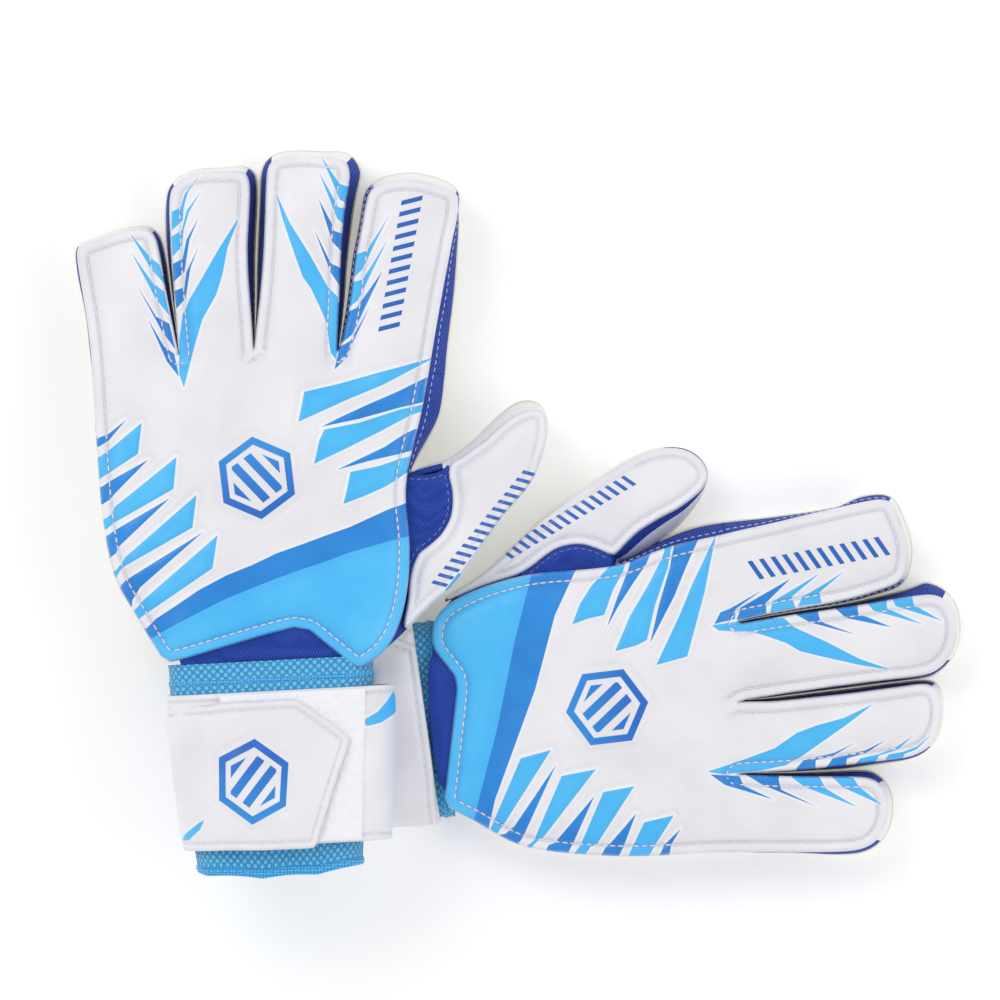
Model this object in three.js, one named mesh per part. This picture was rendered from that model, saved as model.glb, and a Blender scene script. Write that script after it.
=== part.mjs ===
// Pair of goalkeeper gloves lying palm down: the left glove rests across the cuff of the right glove.
// Units are millimetres, +Z up, floor at z = 0. Every outline is given in plan, as seen from above the
// backs of the gloves, running from the little-finger side over the fingertip to the thumb side.
import * as THREE from 'three';

// ---- driving dimensions -------------------------------------------------------------------------
const PALM_T = 5.0;              // palm foam thickness
const BACK_Z0 = 20.0;            // underside of the backhand foam
const BACK_T = 4.0;              // backhand foam thickness
const WALL_Z0 = 5.4;             // side walls stand between palm and backhand
const WALL_Z1 = 19.6;
const WALL_T = 1.6;              // side wall fabric thickness
const WALL_INSET = 2.6;          // side walls sit inside the panel edges
const EDGE_CLEAR = 0.7;          // clearance of each finger to its neighbour
const HINGE_Z = PALM_T / 2;      // flex axes run through the middle of the palm foam
const PALM_GAP_HAND = 3.0;       // palm gap on the hand side of a flex axis
const PALM_GAP_DIGIT = 1.0;      // palm gap on the digit side
const BACK_GAP_HAND = 3.5;       // backhand gap on the hand side
const BACK_GAP_DIGIT = 3.0;      // backhand gap on the digit side
const THUMB_BACK_Z0 = 16.4;      // thumb back foam is lower than the backhand
const THUMB_BACK_T = 3.6;
const THUMB_GAP_HAND = 1.1;
const THUMB_GAP_DIGIT = 3.3;
const LINING_INSET = 5.2;
const LIFT_SLOPE = 0.125;        // left glove rises from its fingertips to its cuff
const LIFT_Y = 130.9;            // plan line of the left fingertips, where the rise starts
const PLAN_SHIFT = [0.3, 0.5];   // brings the pair's plan centre to the origin

// cuff: centre of the wrist end, centre of the hem end, half widths, height of the oval
const CUFF = {
  left:  { c0: [-88.7, -56.9], c1: [-85.0, -127.6], hw0: 36.5, hw1: 29.5, zc: 14.0, hh: 12.5,
           strapW: [9.4, 62.9], strapC: -1.6, strapHW: 41.6, strapHH: 15.3, pad: [0.3, 1.2, 0.3, 1.0, 0.3, 1.8] },
  right: { c0: [-29.8, -74.2], c1: [-98.6, -80.5], hw0: 35.3, hw1: 29.5, zc: 9.0, hh: 6.5,
           strapW: [3.2, 56.7], strapC: 0.5, strapHW: 38.2, strapHH: 9.0, pad: [0.3, 0.8, 0.3, 0.7, 0.3, 1.2] },
};
const CUFF_T = 1.8;              // knit cuff thickness
const STRAP_T = 2.0;             // wrist strap thickness
const HEM_LEN = 2.6;             // bound hem at the end of the cuff

// ---- plan outlines ------------------------------------------------------------------------------
const LEFT_OUTLINE = {
  pinky: [[-152.6,49.5],[-153.4,59.6],[-154.8,70.4],[-156.2,78.7],[-157.7,86.9],[-158.6,93.4],[-158,95.9],[-155.5,96.8],[-150.5,98.8],[-145.1,100.6],[-139.7,101.9],[-135,102.4],[-132.1,101.5],[-130.3,98.8],[-129.2,94.1],[-128.3,89.1],[-127.4,83.3],[-125.8,75.1],[-123.8,65.3],[-122,56.7]],
  ring: [[-121.7,57.1],[-122.6,66.1],[-123.3,75.1],[-123.8,82.3],[-124.6,91.3],[-124.9,100.3],[-125.3,108.5],[-125.1,113.9],[-124.4,116.8],[-122.4,119.3],[-119.5,121.3],[-116.3,122.6],[-112.3,123.1],[-107.3,123.1],[-103,123.1],[-99.4,123.1],[-97.6,121.7],[-96.7,118.3],[-96.7,112.9],[-97.2,103.9],[-97.6,96.7],[-97.4,87.7],[-96.7,78.7],[-95.8,67.9],[-95.2,58.9]],
  middle: [[-94.7,59.2],[-93.8,67.9],[-92.7,76.9],[-92,84.8],[-91.3,94.9],[-90.9,105.7],[-90.6,116.5],[-90.2,122.9],[-89.3,125.8],[-87.1,127.6],[-83.9,128.5],[-79.2,128.9],[-74.2,128.8],[-69.1,128.2],[-64.1,127.8],[-61.7,126.2],[-60.7,122.6],[-61.2,117.2],[-62.5,110.7],[-63.2,103.5],[-63.7,96.3],[-64.1,89.1],[-64.4,80.5],[-64.8,71.5],[-65.1,64.3],[-65.2,58.1]],
  index: [[-64.6,58.1],[-63.2,61.7],[-61.4,68.9],[-60.3,75.1],[-59.4,82.3],[-58.5,90.5],[-57.4,96.7],[-56.3,102.1],[-55.4,107.5],[-54.5,112.1],[-53.6,115.4],[-51.8,117.5],[-48.2,119.2],[-43.6,120.1],[-38.2,120.2],[-33.5,119.5],[-28.8,117.9],[-24.5,116.6],[-22.1,115],[-21.6,111.4],[-22.1,106.4],[-23.9,98.5],[-25.2,91.3],[-26.6,84.1],[-27.9,76.9],[-29.2,69.7],[-30.4,62.5],[-31.7,54.5],[-32.4,50.2]],
  hand_r: [[-32.4,50.2],[-33.7,42.7],[-34.9,36.5],[-36.4,30.1],[-38.2,22.9],[-39.8,15.7],[-40.5,9.5],[-40.5,3.8],[-39.8,-2.3],[-39.1,-9.5],[-39.1,-16.7],[-39.5,-23.9],[-40.5,-31.1],[-42.3,-38.3],[-45,-44.8],[-48.1,-49.1],[-51.5,-52]],
  wrist: [[-54.7,-54.2],[-57.2,-55.3],[-59.8,-53.8],[-67.7,-47.3],[-77,-39.8],[-91.1,-43.4],[-105.5,-47.7],[-119.2,-51.8],[-124.6,-52.9]],
  hand_l: [[-127.8,-50.9],[-132.1,-44.1],[-135.7,-38],[-139,-32.6],[-142.6,-26.8],[-144.9,-21.4],[-147.2,-12.1],[-149.2,1.3],[-150.3,13.9],[-151.2,26.5],[-151.9,39.1],[-152.6,49.5]],
  hinge: {pinky: [[-152.6,49.5],[-122,57.1]], ring: [[-121.9,57.4],[-95,58.9]], middle: [[-94.9,59.2],[-65,57.8]], index: [[-64.8,58.1],[-32,50.2]]},
  thumb: [[-39.2,14.2],[-33.5,17.1],[-27.7,18.5],[-23.8,20],[-20.2,22.9],[-15.8,26.5],[-12.2,30.1],[-8.6,33.7],[-5,36.9],[-1.8,39.2],[1.4,40.5],[4.7,40.7],[7.6,39.6],[9.5,37.1],[10.4,33.7],[10.3,29],[9.2,24.3],[7.9,19.6],[6.5,15.3],[4,10.6],[0.4,6.3],[-4,1.6],[-7.9,-3.4],[-11.5,-8.8],[-15.1,-14.2],[-19.1,-19.8],[-23,-24.7],[-26.6,-28.4],[-31,-31.9],[-36,-36.5],[-40.3,-41.2]],
  thumb_back: [[-24.5,18],[-20.2,20.3],[-16.2,23.2],[-12.2,25.9],[-8.6,29.2],[-5,32.6],[-1.1,35.3],[3.2,36.9],[6.8,37.4],[9,36.5],[10.1,33.3],[10.1,29],[9.2,24.3],[7.9,19.6],[6.5,15.3],[4,10.6],[0.4,6.3],[-4,1.6],[-7.9,-3.4],[-11.5,-8.8],[-15.1,-14.2],[-19.1,-19.8],[-23,-24.7],[-26.6,-28.4],[-31,-31.9],[-36,-36.5],[-40.3,-41.2],[-41,-39.1],[-39.4,-31.1],[-39.1,-23.9],[-38.2,-20],[-36.9,-16.7],[-35.5,-14],[-31.3,-11],[-27.7,-7.7],[-25.2,-3.8],[-23.8,0.2],[-23.4,4.9],[-23.8,9.2],[-25,13.9]],
  side_r: [[-21.6,110],[-21.2,103.9],[-21.8,94.9],[-22.5,84.1],[-23.4,75.1],[-24.3,67.9],[-25.4,58.9],[-26.1,49.9],[-27,40.9],[-28.3,34.7],[-30.6,30.1],[-33.1,25.7],[-35.6,21.4],[-38.5,16.7]],
  patch: [[-40.1,14.2],[-35.3,13.7],[-30.2,14.2],[-26.6,15.7],[-24.7,18.2],[-24.8,13.9],[-23.8,9.2],[-23.4,4.9],[-23.8,0.2],[-25.2,-3.8],[-27.7,-7.7],[-31.3,-11],[-35.5,-14],[-36.9,-16.7],[-38.2,-20],[-39.1,-23.9],[-41,-23.9],[-41,-9.5],[-42.1,4.9],[-41.8,12.8]],
  insert: [[-117.0, -52.6], [-105.5, -49.3], [-91.1, -45.2], [-77.4, -41.8], [-69.1, -48.4], [-62.3, -53.6], [-78.5, -53.8], [-100.1, -54.2]],
  thumbHinge: [[-38.5, 14.2], [-38.9, -41.2]],
};
const RIGHT_OUTLINE = {
  pinky: [[78.1,-121.7],[87.1,-121.7],[97.9,-121.7],[108.7,-121.7],[117.7,-121.5],[123.1,-120.8],[127.4,-119],[130.3,-116.1],[132.3,-112.1],[133.2,-107.5],[133,-103.1],[131.8,-99.5],[129.6,-96.8],[126,-95.2],[119.5,-94.9],[108.7,-94.9],[97.9,-94.8],[87.8,-94.5],[78.8,-94.1]],
  ring: [[80.3,-93.4],[90.7,-92.9],[101.5,-92.2],[112.3,-91.1],[123.1,-89.8],[132.1,-88.7],[139.3,-87.8],[144,-86.4],[147.6,-84.2],[150.1,-80.8],[151.9,-76.1],[152.5,-71.5],[152.1,-67.1],[150.5,-63.5],[148,-61.6],[144,-61.6],[139.3,-62.3],[130.3,-63.5],[119.5,-65],[108.7,-66.1],[97.9,-67.3],[90.7,-67.9],[82.8,-67.9],[79,-68]],
  middle: [[82.5,-66.7],[90.7,-65.5],[97.9,-64.3],[105.1,-63.4],[112.3,-62.3],[119.5,-61.4],[126.7,-60.5],[133.9,-59.6],[141.1,-58.9],[146.5,-58.1],[150.8,-56.3],[154.4,-52.9],[156.8,-48.8],[158,-43.7],[158,-39.1],[156.8,-35.1],[154.8,-32.2],[151.9,-30.1],[148.3,-29.3],[142.9,-29.9],[137.5,-30.6],[130.3,-31.9],[123.1,-33.1],[115.9,-34.2],[108.7,-35.3],[101.5,-36.2],[94.3,-37.4],[87.1,-38.5],[80.3,-39.8]],
  index: [[78.8,-38.7],[81.7,-37.8],[87.1,-36.7],[94.3,-35.3],[101.5,-34],[108.7,-32.8],[115.9,-31.5],[121.3,-30.2],[126.7,-28.6],[132.1,-26.8],[136.4,-25.2],[139,-22.5],[140.2,-17.5],[140.4,-12.4],[139.3,-7.4],[137.5,-3.1],[136.1,0.9],[134.3,4],[131,5],[126,4.3],[119.5,2.9],[113,1.4],[106.9,0],[100.8,-1.4],[94.3,-3.1],[87.1,-4.7],[80.6,-6.1],[74.5,-7.6]],
  hand_r: [[74.5,-7.6],[69.1,-8.8],[64.8,-9.7],[60.5,-10.6],[55.4,-11.9],[50.4,-13.5],[45.7,-15.3],[41,-17.3],[36.7,-18.7],[31.3,-19.6],[25.9,-20.2],[19.4,-20.7],[12.2,-21.1],[6.1,-21.8],[-0.4,-23],[-6.5,-24.7],[-13,-26.8],[-18.7,-29.2],[-23.8,-31.9],[-27.7,-35.1]],
  wrist: [[-29.9,-38.7],[-30.8,-42.7],[-30.6,-48.4],[-25.9,-54.2],[-21.6,-59.9],[-22.7,-71.5],[-24.1,-83.3],[-25.7,-97.7],[-26.3,-102.4]],
  hand_l: [[-24.8,-105.7],[-20.2,-108.2],[-15.8,-110.3],[-11.5,-112.9],[-7.2,-115.4],[-2.2,-118.1],[3.6,-120.1],[10.8,-121.3],[20.5,-122.4],[29.5,-122.9],[38.5,-123.3],[47.5,-123.1],[58.3,-122.6],[68.4,-121.9],[78.1,-121.7]],
  hinge: {pinky: [[78.1,-121.7],[78.8,-94.1]], ring: [[80.3,-93.4],[79,-68]], middle: [[82.5,-66.7],[79.6,-39.8]], index: [[78.8,-38.7],[74.5,-7.6]]},
  thumb: [[34.2,-19.3],[38.2,-18.2],[42.8,-16.4],[47.9,-13.1],[52.9,-9],[57.6,-4.7],[61.9,0],[65.2,4.5],[67.3,8.8],[68.6,13.5],[67.9,17.1],[65.2,20.5],[60.8,23],[55.1,23.9],[49.3,23.3],[43.9,21.4],[37.4,18],[30.6,13.7],[23.4,8.6],[16.2,3.8],[9,-1.4],[2.2,-8.1],[-4.7,-14.8],[-11.2,-20.7],[-16.6,-24.7],[-22.3,-28.1],[-26.6,-31.1]],
  thumb_back: [[34.2,-15.3],[36.7,-13],[40,-9.4],[43.6,-6.1],[47.9,-3.4],[52.2,-0.9],[56.9,1.4],[61.6,4.7],[65.9,8.3],[68,11.7],[68.2,14.2],[67.1,17.5],[64.8,20.2],[60.8,22.7],[55.1,23.6],[49.3,22.9],[43.9,21.1],[37.4,17.6],[30.6,13.3],[23.4,8.3],[16.2,3.4],[9,-1.8],[2.2,-8.5],[-4.7,-15.1],[-11.2,-20.9],[-16.6,-24.8],[-22.3,-28.3],[-25.9,-31.5],[-21.6,-30.1],[-14.4,-27],[-7.2,-24.5],[-0.4,-22.5],[4.7,-19.4],[9,-15.8],[13.3,-12.8],[18.4,-11.2],[23.4,-11],[28.4,-12.6]],
  side_r: [[113,1.8],[106.9,0.7],[97.9,-0.5],[88.9,-1.6],[79.9,-2.5],[70.9,-3.4],[63.7,-4.9],[56.5,-7.4],[50,-10.4],[44.6,-13.3],[40.3,-16],[36.7,-18.2]],
  patch: [[34.2,-15.7],[31.3,-14],[28.4,-12.6],[23.4,-11],[18.4,-11.2],[13.3,-12.8],[9,-15.8],[4.7,-19.4],[-0.4,-22.7],[4.3,-23.6],[15.1,-22.9],[25.9,-22.1],[33.8,-21.1]],
  insert: [[-28.8, -51.3], [-26.6, -54.4], [-23.4, -60.3], [-24.3, -71.5], [-25.7, -83.3], [-27.2, -95.2], [-29.2, -83.3], [-30.2, -71.5], [-30.2, -59.9], [-29.9, -54.2]],
  thumbHinge: [[35.3, -17.8], [-22.7, -30.1]],
};

// ---- materials ----------------------------------------------------------------------------------
const mat = (color, roughness) => new THREE.MeshStandardMaterial({ color, roughness, metalness: 0 });
const WHITE_PU = mat(0xe8e6eb, 0.45);
const LATEX = mat(0xe8e8dc, 0.8);
const ROYAL = mat(0x32469f, 0.8);
const KNIT = mat(0x2d98d4, 0.85);
const BINDING = mat(0x3aa6dc, 0.7);
const FLEECE = mat(0xdfdff0, 0.95);
const LINING = mat(0x2a3a80, 0.9);

// ---- plan geometry ------------------------------------------------------------------------------
const sub = (a, b) => [a[0] - b[0], a[1] - b[1]];
const dot = (a, b) => a[0] * b[0] + a[1] * b[1];
const unit = (a) => { const l = Math.hypot(a[0], a[1]); return [a[0] / l, a[1] / l]; };
const area = (p) => p.reduce((s, a, i) => { const b = p[(i + 1) % p.length]; return s + (a[0] * b[1] - b[0] * a[1]) / 2; }, 0);

function clip(poly, p, n) {      // keeps the side that n points to
  const out = [];
  for (let i = 0; i < poly.length; i++) {
    const a = poly[i], b = poly[(i + 1) % poly.length];
    const da = dot(sub(a, p), n), db = dot(sub(b, p), n);
    if (da >= 0) out.push(a);
    if ((da >= 0) !== (db >= 0)) {
      const t = da / (da - db);
      out.push([a[0] + (b[0] - a[0]) * t, a[1] + (b[1] - a[1]) * t]);
    }
  }
  return out;
}

// moves a line sideways by d (towards its left when side is 1), merging edges that would turn over
function offset(line, d, side, closed) {
  let src = line.map((p) => [...p]);
  for (let pass = 0; pass < 60; pass++) {
    const n = src.length, out = [];
    for (let i = 0; i < n; i++) {
      const prev = src[(i - 1 + n) % n], cur = src[i], next = src[(i + 1) % n];
      const e0 = !closed && i === 0 ? null : unit(sub(cur, prev));
      const e1 = !closed && i === n - 1 ? null : unit(sub(next, cur));
      const n0 = e0 && [-e0[1] * side, e0[0] * side], n1 = e1 && [-e1[1] * side, e1[0] * side];
      if (!n0 || !n1) { const m = n0 || n1; out.push([cur[0] + m[0] * d, cur[1] + m[1] * d]); continue; }
      const k = d / Math.max(0.35, 1 + dot(n0, n1));
      out.push([cur[0] + (n0[0] + n1[0]) * k, cur[1] + (n0[1] + n1[1]) * k]);
    }
    let bad = -1;
    for (let i = 0; i < (closed ? n : n - 1); i++) {
      const j = (i + 1) % n;
      if (dot(sub(out[j], out[i]), sub(src[j], src[i])) <= 0) { bad = i; break; }
    }
    if (bad < 0) return out;
    const j = (bad + 1) % n;
    const m = [(src[bad][0] + src[j][0]) / 2, (src[bad][1] + src[j][1]) / 2];
    src[bad] = m; src.splice(j, 1);
  }
  return src;
}

function thin(poly, least) {     // drops points closer together than least
  const out = [];
  for (const p of poly) if (!out.length || Math.hypot(...sub(p, out[out.length - 1])) > least) out.push(p);
  while (out.length > 3 && Math.hypot(...sub(out[0], out[out.length - 1])) <= least) out.pop();
  return out;
}

// ---- solids -------------------------------------------------------------------------------------
const root = new THREE.Group();
root.position.set(PLAN_SHIFT[0], PLAN_SHIFT[1], 0);

function addMesh(name, geometry, material, lift) {
  if (lift) {
    const pos = geometry.attributes.position;
    for (let i = 0; i < pos.count; i++) pos.setZ(i, pos.getZ(i) + LIFT_SLOPE * Math.max(0, LIFT_Y - pos.getY(i)));
  }
  const mesh = new THREE.Mesh(geometry, material);
  mesh.name = name;
  root.add(mesh);
}

function plate(name, poly, z0, z1, material, lift) {
  let pts = thin(poly, 0.35);
  if (area(pts) < 0) pts = pts.reverse();
  const shape = new THREE.Shape(pts.map((p) => new THREE.Vector2(p[0], p[1])));
  const g = new THREE.ExtrudeGeometry(shape, { depth: z1 - z0, bevelEnabled: false, steps: 1 });
  g.translate(0, 0, z0);
  addMesh(name, g, material, lift);
}

function stadium(hw, hh, seg) {  // flat top and bottom, round ends
  const pts = [], r = Math.min(hw, hh) ;
  for (let i = 0; i <= seg; i++) { const a = -Math.PI / 2 + Math.PI * i / seg; pts.push(new THREE.Vector2(hw - r + r * Math.cos(a), r * Math.sin(a) * hh / r)); }
  for (let i = 0; i <= seg; i++) { const a = Math.PI / 2 + Math.PI * i / seg; pts.push(new THREE.Vector2(-(hw - r) + r * Math.cos(a), r * Math.sin(a) * hh / r)); }
  return pts;
}

// oval tube from w0 to w1 along the cuff axis; half width changes linearly
function ovalTube(name, c, w0, w1, hwAt, hh, t, offC, material, lift) {
  const hwRef = hwAt(w0);
  const outer = stadium(hwRef, hh, 8), inner = stadium(hwRef - t, hh - t, 8);
  const shape = new THREE.Shape(outer);
  shape.holes.push(new THREE.Path(inner.reverse()));
  const g = new THREE.ExtrudeGeometry(shape, { depth: w1 - w0, bevelEnabled: false, steps: 1 });
  const ax = unit(sub(c.c1, c.c0)), sd = c.side;
  const pos = g.attributes.position;
  for (let i = 0; i < pos.count; i++) {
    const u = pos.getX(i) * (hwAt(w0 + pos.getZ(i)) / hwRef) + offC, v = pos.getY(i), w = w0 + pos.getZ(i);
    pos.setXYZ(i, c.c0[0] + ax[0] * w + sd[0] * u, c.c0[1] + ax[1] * w + sd[1] * u, c.zc + v);
  }
  // keep the faces pointing out whichever way the cuff frame turns
  if (ax[0] * sd[1] - ax[1] * sd[0] < 0) {
    for (let i = 0; i < pos.count; i += 3) for (let k = 0; k < 3; k++) {
      const a = pos.array[i * 3 + 3 + k]; pos.array[i * 3 + 3 + k] = pos.array[i * 3 + 6 + k]; pos.array[i * 3 + 6 + k] = a;
    }
  }
  addMesh(name, g, material, lift);
}

// ---- one glove ----------------------------------------------------------------------------------
function buildGlove(hand, o) {
  const lift = hand === 'left';
  const side = lift ? -1 : 1;                    // which side of the outlines the inside is on
  const digits = ['pinky', 'ring', 'middle', 'index'];
  const nodeDigit = { pinky: 'little', ring: 'ring', middle: 'middle', index: 'index' };
  const nm = (s) => `${hand}_${s}`;

  // distal edge of the hand: the four flex lines, moved back towards the wrist by gap
  const distal = (gap) => {
    const line = [o.hinge.pinky[0]];
    for (let i = 0; i < 3; i++) {                // at each crotch, the point nearer the wrist
      const a = o.hinge[digits[i]][1], b = o.hinge[digits[i + 1]][0];
      const h = unit(sub(o.hinge[digits[i + 1]][1], o.hinge[digits[i]][0])), n = [h[1] * side, -h[0] * side];
      const m = [(a[0] + b[0]) / 2, (a[1] + b[1]) / 2];
      const s = Math.min(dot(sub(a, m), n), dot(sub(b, m), n));
      line.push([m[0] + n[0] * s, m[1] + n[1] * s]);
    }
    line.push(o.hinge.index[1]);
    return offset(line, gap, side, false);
  };
  const t0 = o.thumbHinge[0], t1 = o.thumbHinge[1];
  const td = unit(sub(t1, t0)), tl = Math.hypot(...sub(t1, t0));
  const tn = [-td[1] * -side, td[0] * -side];    // points from the hand towards the thumb
  const behindThumb = (line, gap, before = 9) => line.map((p) => {
    const w = dot(sub(p, t0), td), s = dot(sub(p, t0), tn);
    return w > -before && w < tl + 10 && s > -gap ? [p[0] - tn[0] * (s + gap), p[1] - tn[1] * (s + gap)] : p;
  });
  const handPoly = (gap, inset, thumbGap, straightWrist) => {
    const r = behindThumb(offset(o.hand_r, inset, side, false), thumbGap, straightWrist && !lift ? 16 : 9);
    const l = offset(o.hand_l, inset, side, false);
    const w = straightWrist ? [] : offset(o.wrist, 0.4, side, false);
    const h1 = o.hinge.index[1], h0 = o.hinge.pinky[0];
    const d = distal(gap);
    const poly = [...d, ...r.filter((p) => dot(sub(p, h1), unit(sub(o.hand_r[4], o.hand_r[0]))) > gap + 1), ...w,
      ...l.filter((p) => dot(sub(p, h0), unit(sub(o.hand_l[o.hand_l.length - 4], o.hand_l[o.hand_l.length - 1]))) > gap + 1)];
    poly[0] = [d[0][0], d[0][1]];
    return poly;
  };

  // hand
  plate(nm('palm_panel'), handPoly(PALM_GAP_HAND, 0.4, PALM_GAP_HAND + 0.9, true), 0, PALM_T, LATEX, lift);
  plate(nm('backhand_panel'), handPoly(BACK_GAP_HAND, 0.4, THUMB_GAP_HAND, false), BACK_Z0, BACK_Z0 + BACK_T, WHITE_PU, lift);
  const wall = (line) => {
    const a = offset(line, WALL_INSET, side, false), b = offset(line, WALL_INSET + WALL_T, side, false);
    return [...a, ...b.reverse()];
  };
  const cutLine = (line, p, gap) => line.filter((q) => Math.hypot(...sub(q, p)) > gap);
  plate(nm('thumb_side_gusset'), wall(cutLine(behindThumb(o.hand_r, 0.2), o.hinge.index[1], BACK_GAP_HAND + 0.5)), WALL_Z0, WALL_Z1, ROYAL, lift);
  plate(nm('little_side_gusset'), wall(cutLine(o.hand_l, o.hinge.pinky[0], BACK_GAP_HAND + 0.5)), WALL_Z0, WALL_Z1, ROYAL, lift);
  const inner = offset(handPoly(BACK_GAP_HAND, 0.4, PALM_GAP_HAND + 0.1, true), LINING_INSET, side, true);
  plate(nm('palm_lining'), inner, WALL_Z0, WALL_Z0 + 1.2, LINING, lift);
  plate(nm('backhand_lining'), inner, 17.0, 18.4, LINING, lift);
  plate(nm('wrist_insert'), o.insert, BACK_Z0 - 1.2, BACK_Z0 + 0.6, ROYAL, lift);

  // fingers
  for (const d of digits) {
    const [h0, h1] = o.hinge[d];
    const hd = unit(sub(h1, h0));
    const n = [-hd[1] * -side, hd[0] * -side];   // along the finger
    const out = offset(o[d], EDGE_CLEAR, side, false);
    const at = (s) => [h0[0] + n[0] * s, h0[1] + n[1] * s];
    const node = nodeDigit[d];
    plate(nm(`${node}_palm`), clip(out, at(PALM_GAP_DIGIT), n), 0, PALM_T, LATEX, lift);
    plate(nm(`${node}_back`), clip(out, at(BACK_GAP_DIGIT), n), BACK_Z0, BACK_Z0 + BACK_T, WHITE_PU, lift);
    const a = offset(o[d], WALL_INSET, side, false), b = offset(o[d], WALL_INSET + WALL_T, side, false);
    plate(nm(`${node}_gusset`), clip([...a, ...b.reverse()], at(BACK_GAP_DIGIT), n), WALL_Z0, WALL_Z1, ROYAL, lift);
  }

  // thumb
  plate(nm('thumb_palm'), clip(offset(o.thumb, 0.3, side, false), [t0[0] + tn[0] * PALM_GAP_DIGIT, t0[1] + tn[1] * PALM_GAP_DIGIT], tn), 0, PALM_T, LATEX, lift);
  const tg = [t0[0] + tn[0] * THUMB_GAP_DIGIT, t0[1] + tn[1] * THUMB_GAP_DIGIT];
  plate(nm('thumb_back'), clip(o.thumb_back, tg, tn), THUMB_BACK_Z0, THUMB_BACK_Z0 + THUMB_BACK_T, WHITE_PU, lift);
  const ta = offset(o.thumb, WALL_INSET, side, false), tb = offset(o.thumb, WALL_INSET + WALL_T, side, false);
  plate(nm('thumb_gusset'), clip([...ta, ...tb.reverse()], tg, tn), WALL_Z0, THUMB_BACK_Z0 - 0.4, ROYAL, lift);

  // cuff
  const c = CUFF[hand], ax = unit(sub(c.c1, c.c0)), len = Math.hypot(...sub(c.c1, c.c0));
  c.side = lift ? [-ax[1], ax[0]] : [-ax[1] * -1, ax[0] * -1];   // towards the thumb side
  const hwAt = (w) => c.hw0 + (c.hw1 - c.hw0) * w / len;
  ovalTube(nm('cuff_bandage'), c, 0, len - HEM_LEN - 0.3, hwAt, c.hh, CUFF_T, 0, KNIT, lift);
  ovalTube(nm('cuff_hem_binding'), c, len - HEM_LEN, len, (w) => hwAt(w) + 0.5, c.hh + 0.4, CUFF_T + 0.8, 0, BINDING, lift);
  ovalTube(nm('strap_band'), c, c.strapW[0], c.strapW[1], () => c.strapHW, c.strapHH, STRAP_T, c.strapC, WHITE_PU, lift);
  const at = (u, w) => [c.c0[0] + ax[0] * w + c.side[0] * (u + c.strapC), c.c0[1] + ax[1] * w + c.side[1] * (u + c.strapC)];
  const [g1, p1, g2, p2, g3, p3] = c.pad, top = c.zc + c.strapHH, hw = c.strapHW, flat = hw - c.strapHH;
  const [s0, s1] = c.strapW;
  const zl = top + g1, zh = zl + p1 + g2, zf = zh + p2 + g3;
  plate(nm('strap_loop_pad'), [at(-10, s0 + 1), at(flat, s0 + 1), at(flat, s1 - 2), at(-10, s1 - 2)], zl, zl + p1, FLEECE, lift);
  plate(nm('strap_hook_pad'), [at(-8, s0 + 4), at(4, s0 + 4), at(18, s0 + 13), at(13, s1 - 8), at(10, s1 - 3), at(-8, s1 - 3)], zh, zh + p2, WHITE_PU, lift);
  const e = -hw + 4.2;
  plate(nm('strap_flap'), [at(e, s0 + 0.5), at(-20, s0 + 1), at(0, s0 + 0.8), at(5.6, s0 + 0.8), at(26.4, s0 + 14.4), at(23.5, s0 + 25), at(20, s0 + 36), at(16.4, s1 - 6), at(14.5, s1 + 1.2), at(-12, s1 + 2), at(-28, s1 + 0.6), at(e + 1.5, s1 - 1), at(e + 0.6, s1 - 10)], zf, zf + p3, WHITE_PU, lift);
}

buildGlove('left', LEFT_OUTLINE);
buildGlove('right', RIGHT_OUTLINE);

export default root;
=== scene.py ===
# A pair of goalkeeper gloves, palm down. Lengths below are millimetres in plan; the finished meshes are metres.
import bpy, math
import numpy as np
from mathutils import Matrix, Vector
from mathutils.geometry import delaunay_2d_cdt

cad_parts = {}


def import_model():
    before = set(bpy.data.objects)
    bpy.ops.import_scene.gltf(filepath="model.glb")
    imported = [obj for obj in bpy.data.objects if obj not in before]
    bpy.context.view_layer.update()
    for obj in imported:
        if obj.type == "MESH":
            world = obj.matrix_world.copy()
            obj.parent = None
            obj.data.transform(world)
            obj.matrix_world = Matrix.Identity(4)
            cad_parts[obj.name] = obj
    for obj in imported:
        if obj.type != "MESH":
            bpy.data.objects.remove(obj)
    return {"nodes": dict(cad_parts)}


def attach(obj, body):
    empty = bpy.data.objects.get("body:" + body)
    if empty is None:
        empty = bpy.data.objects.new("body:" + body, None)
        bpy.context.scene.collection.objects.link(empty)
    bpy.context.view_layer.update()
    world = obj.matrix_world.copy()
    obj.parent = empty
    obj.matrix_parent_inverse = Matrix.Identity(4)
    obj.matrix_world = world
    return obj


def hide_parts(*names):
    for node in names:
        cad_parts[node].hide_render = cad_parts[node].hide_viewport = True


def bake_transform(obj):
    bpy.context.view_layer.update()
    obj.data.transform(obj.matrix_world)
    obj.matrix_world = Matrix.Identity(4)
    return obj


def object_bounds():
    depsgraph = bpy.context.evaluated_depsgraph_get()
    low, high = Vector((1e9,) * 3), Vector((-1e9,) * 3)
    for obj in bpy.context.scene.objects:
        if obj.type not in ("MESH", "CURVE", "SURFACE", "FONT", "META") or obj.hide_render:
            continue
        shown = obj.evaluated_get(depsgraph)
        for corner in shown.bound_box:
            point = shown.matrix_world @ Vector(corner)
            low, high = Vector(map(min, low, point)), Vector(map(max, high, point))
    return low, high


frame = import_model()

cad_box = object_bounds()
REACH = (158.0, 128.9)          # outermost fingertips of the plan outlines below, in x and y
EDGE_CLEAR = 0.7                # the panels stop this far inside their outlines
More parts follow.
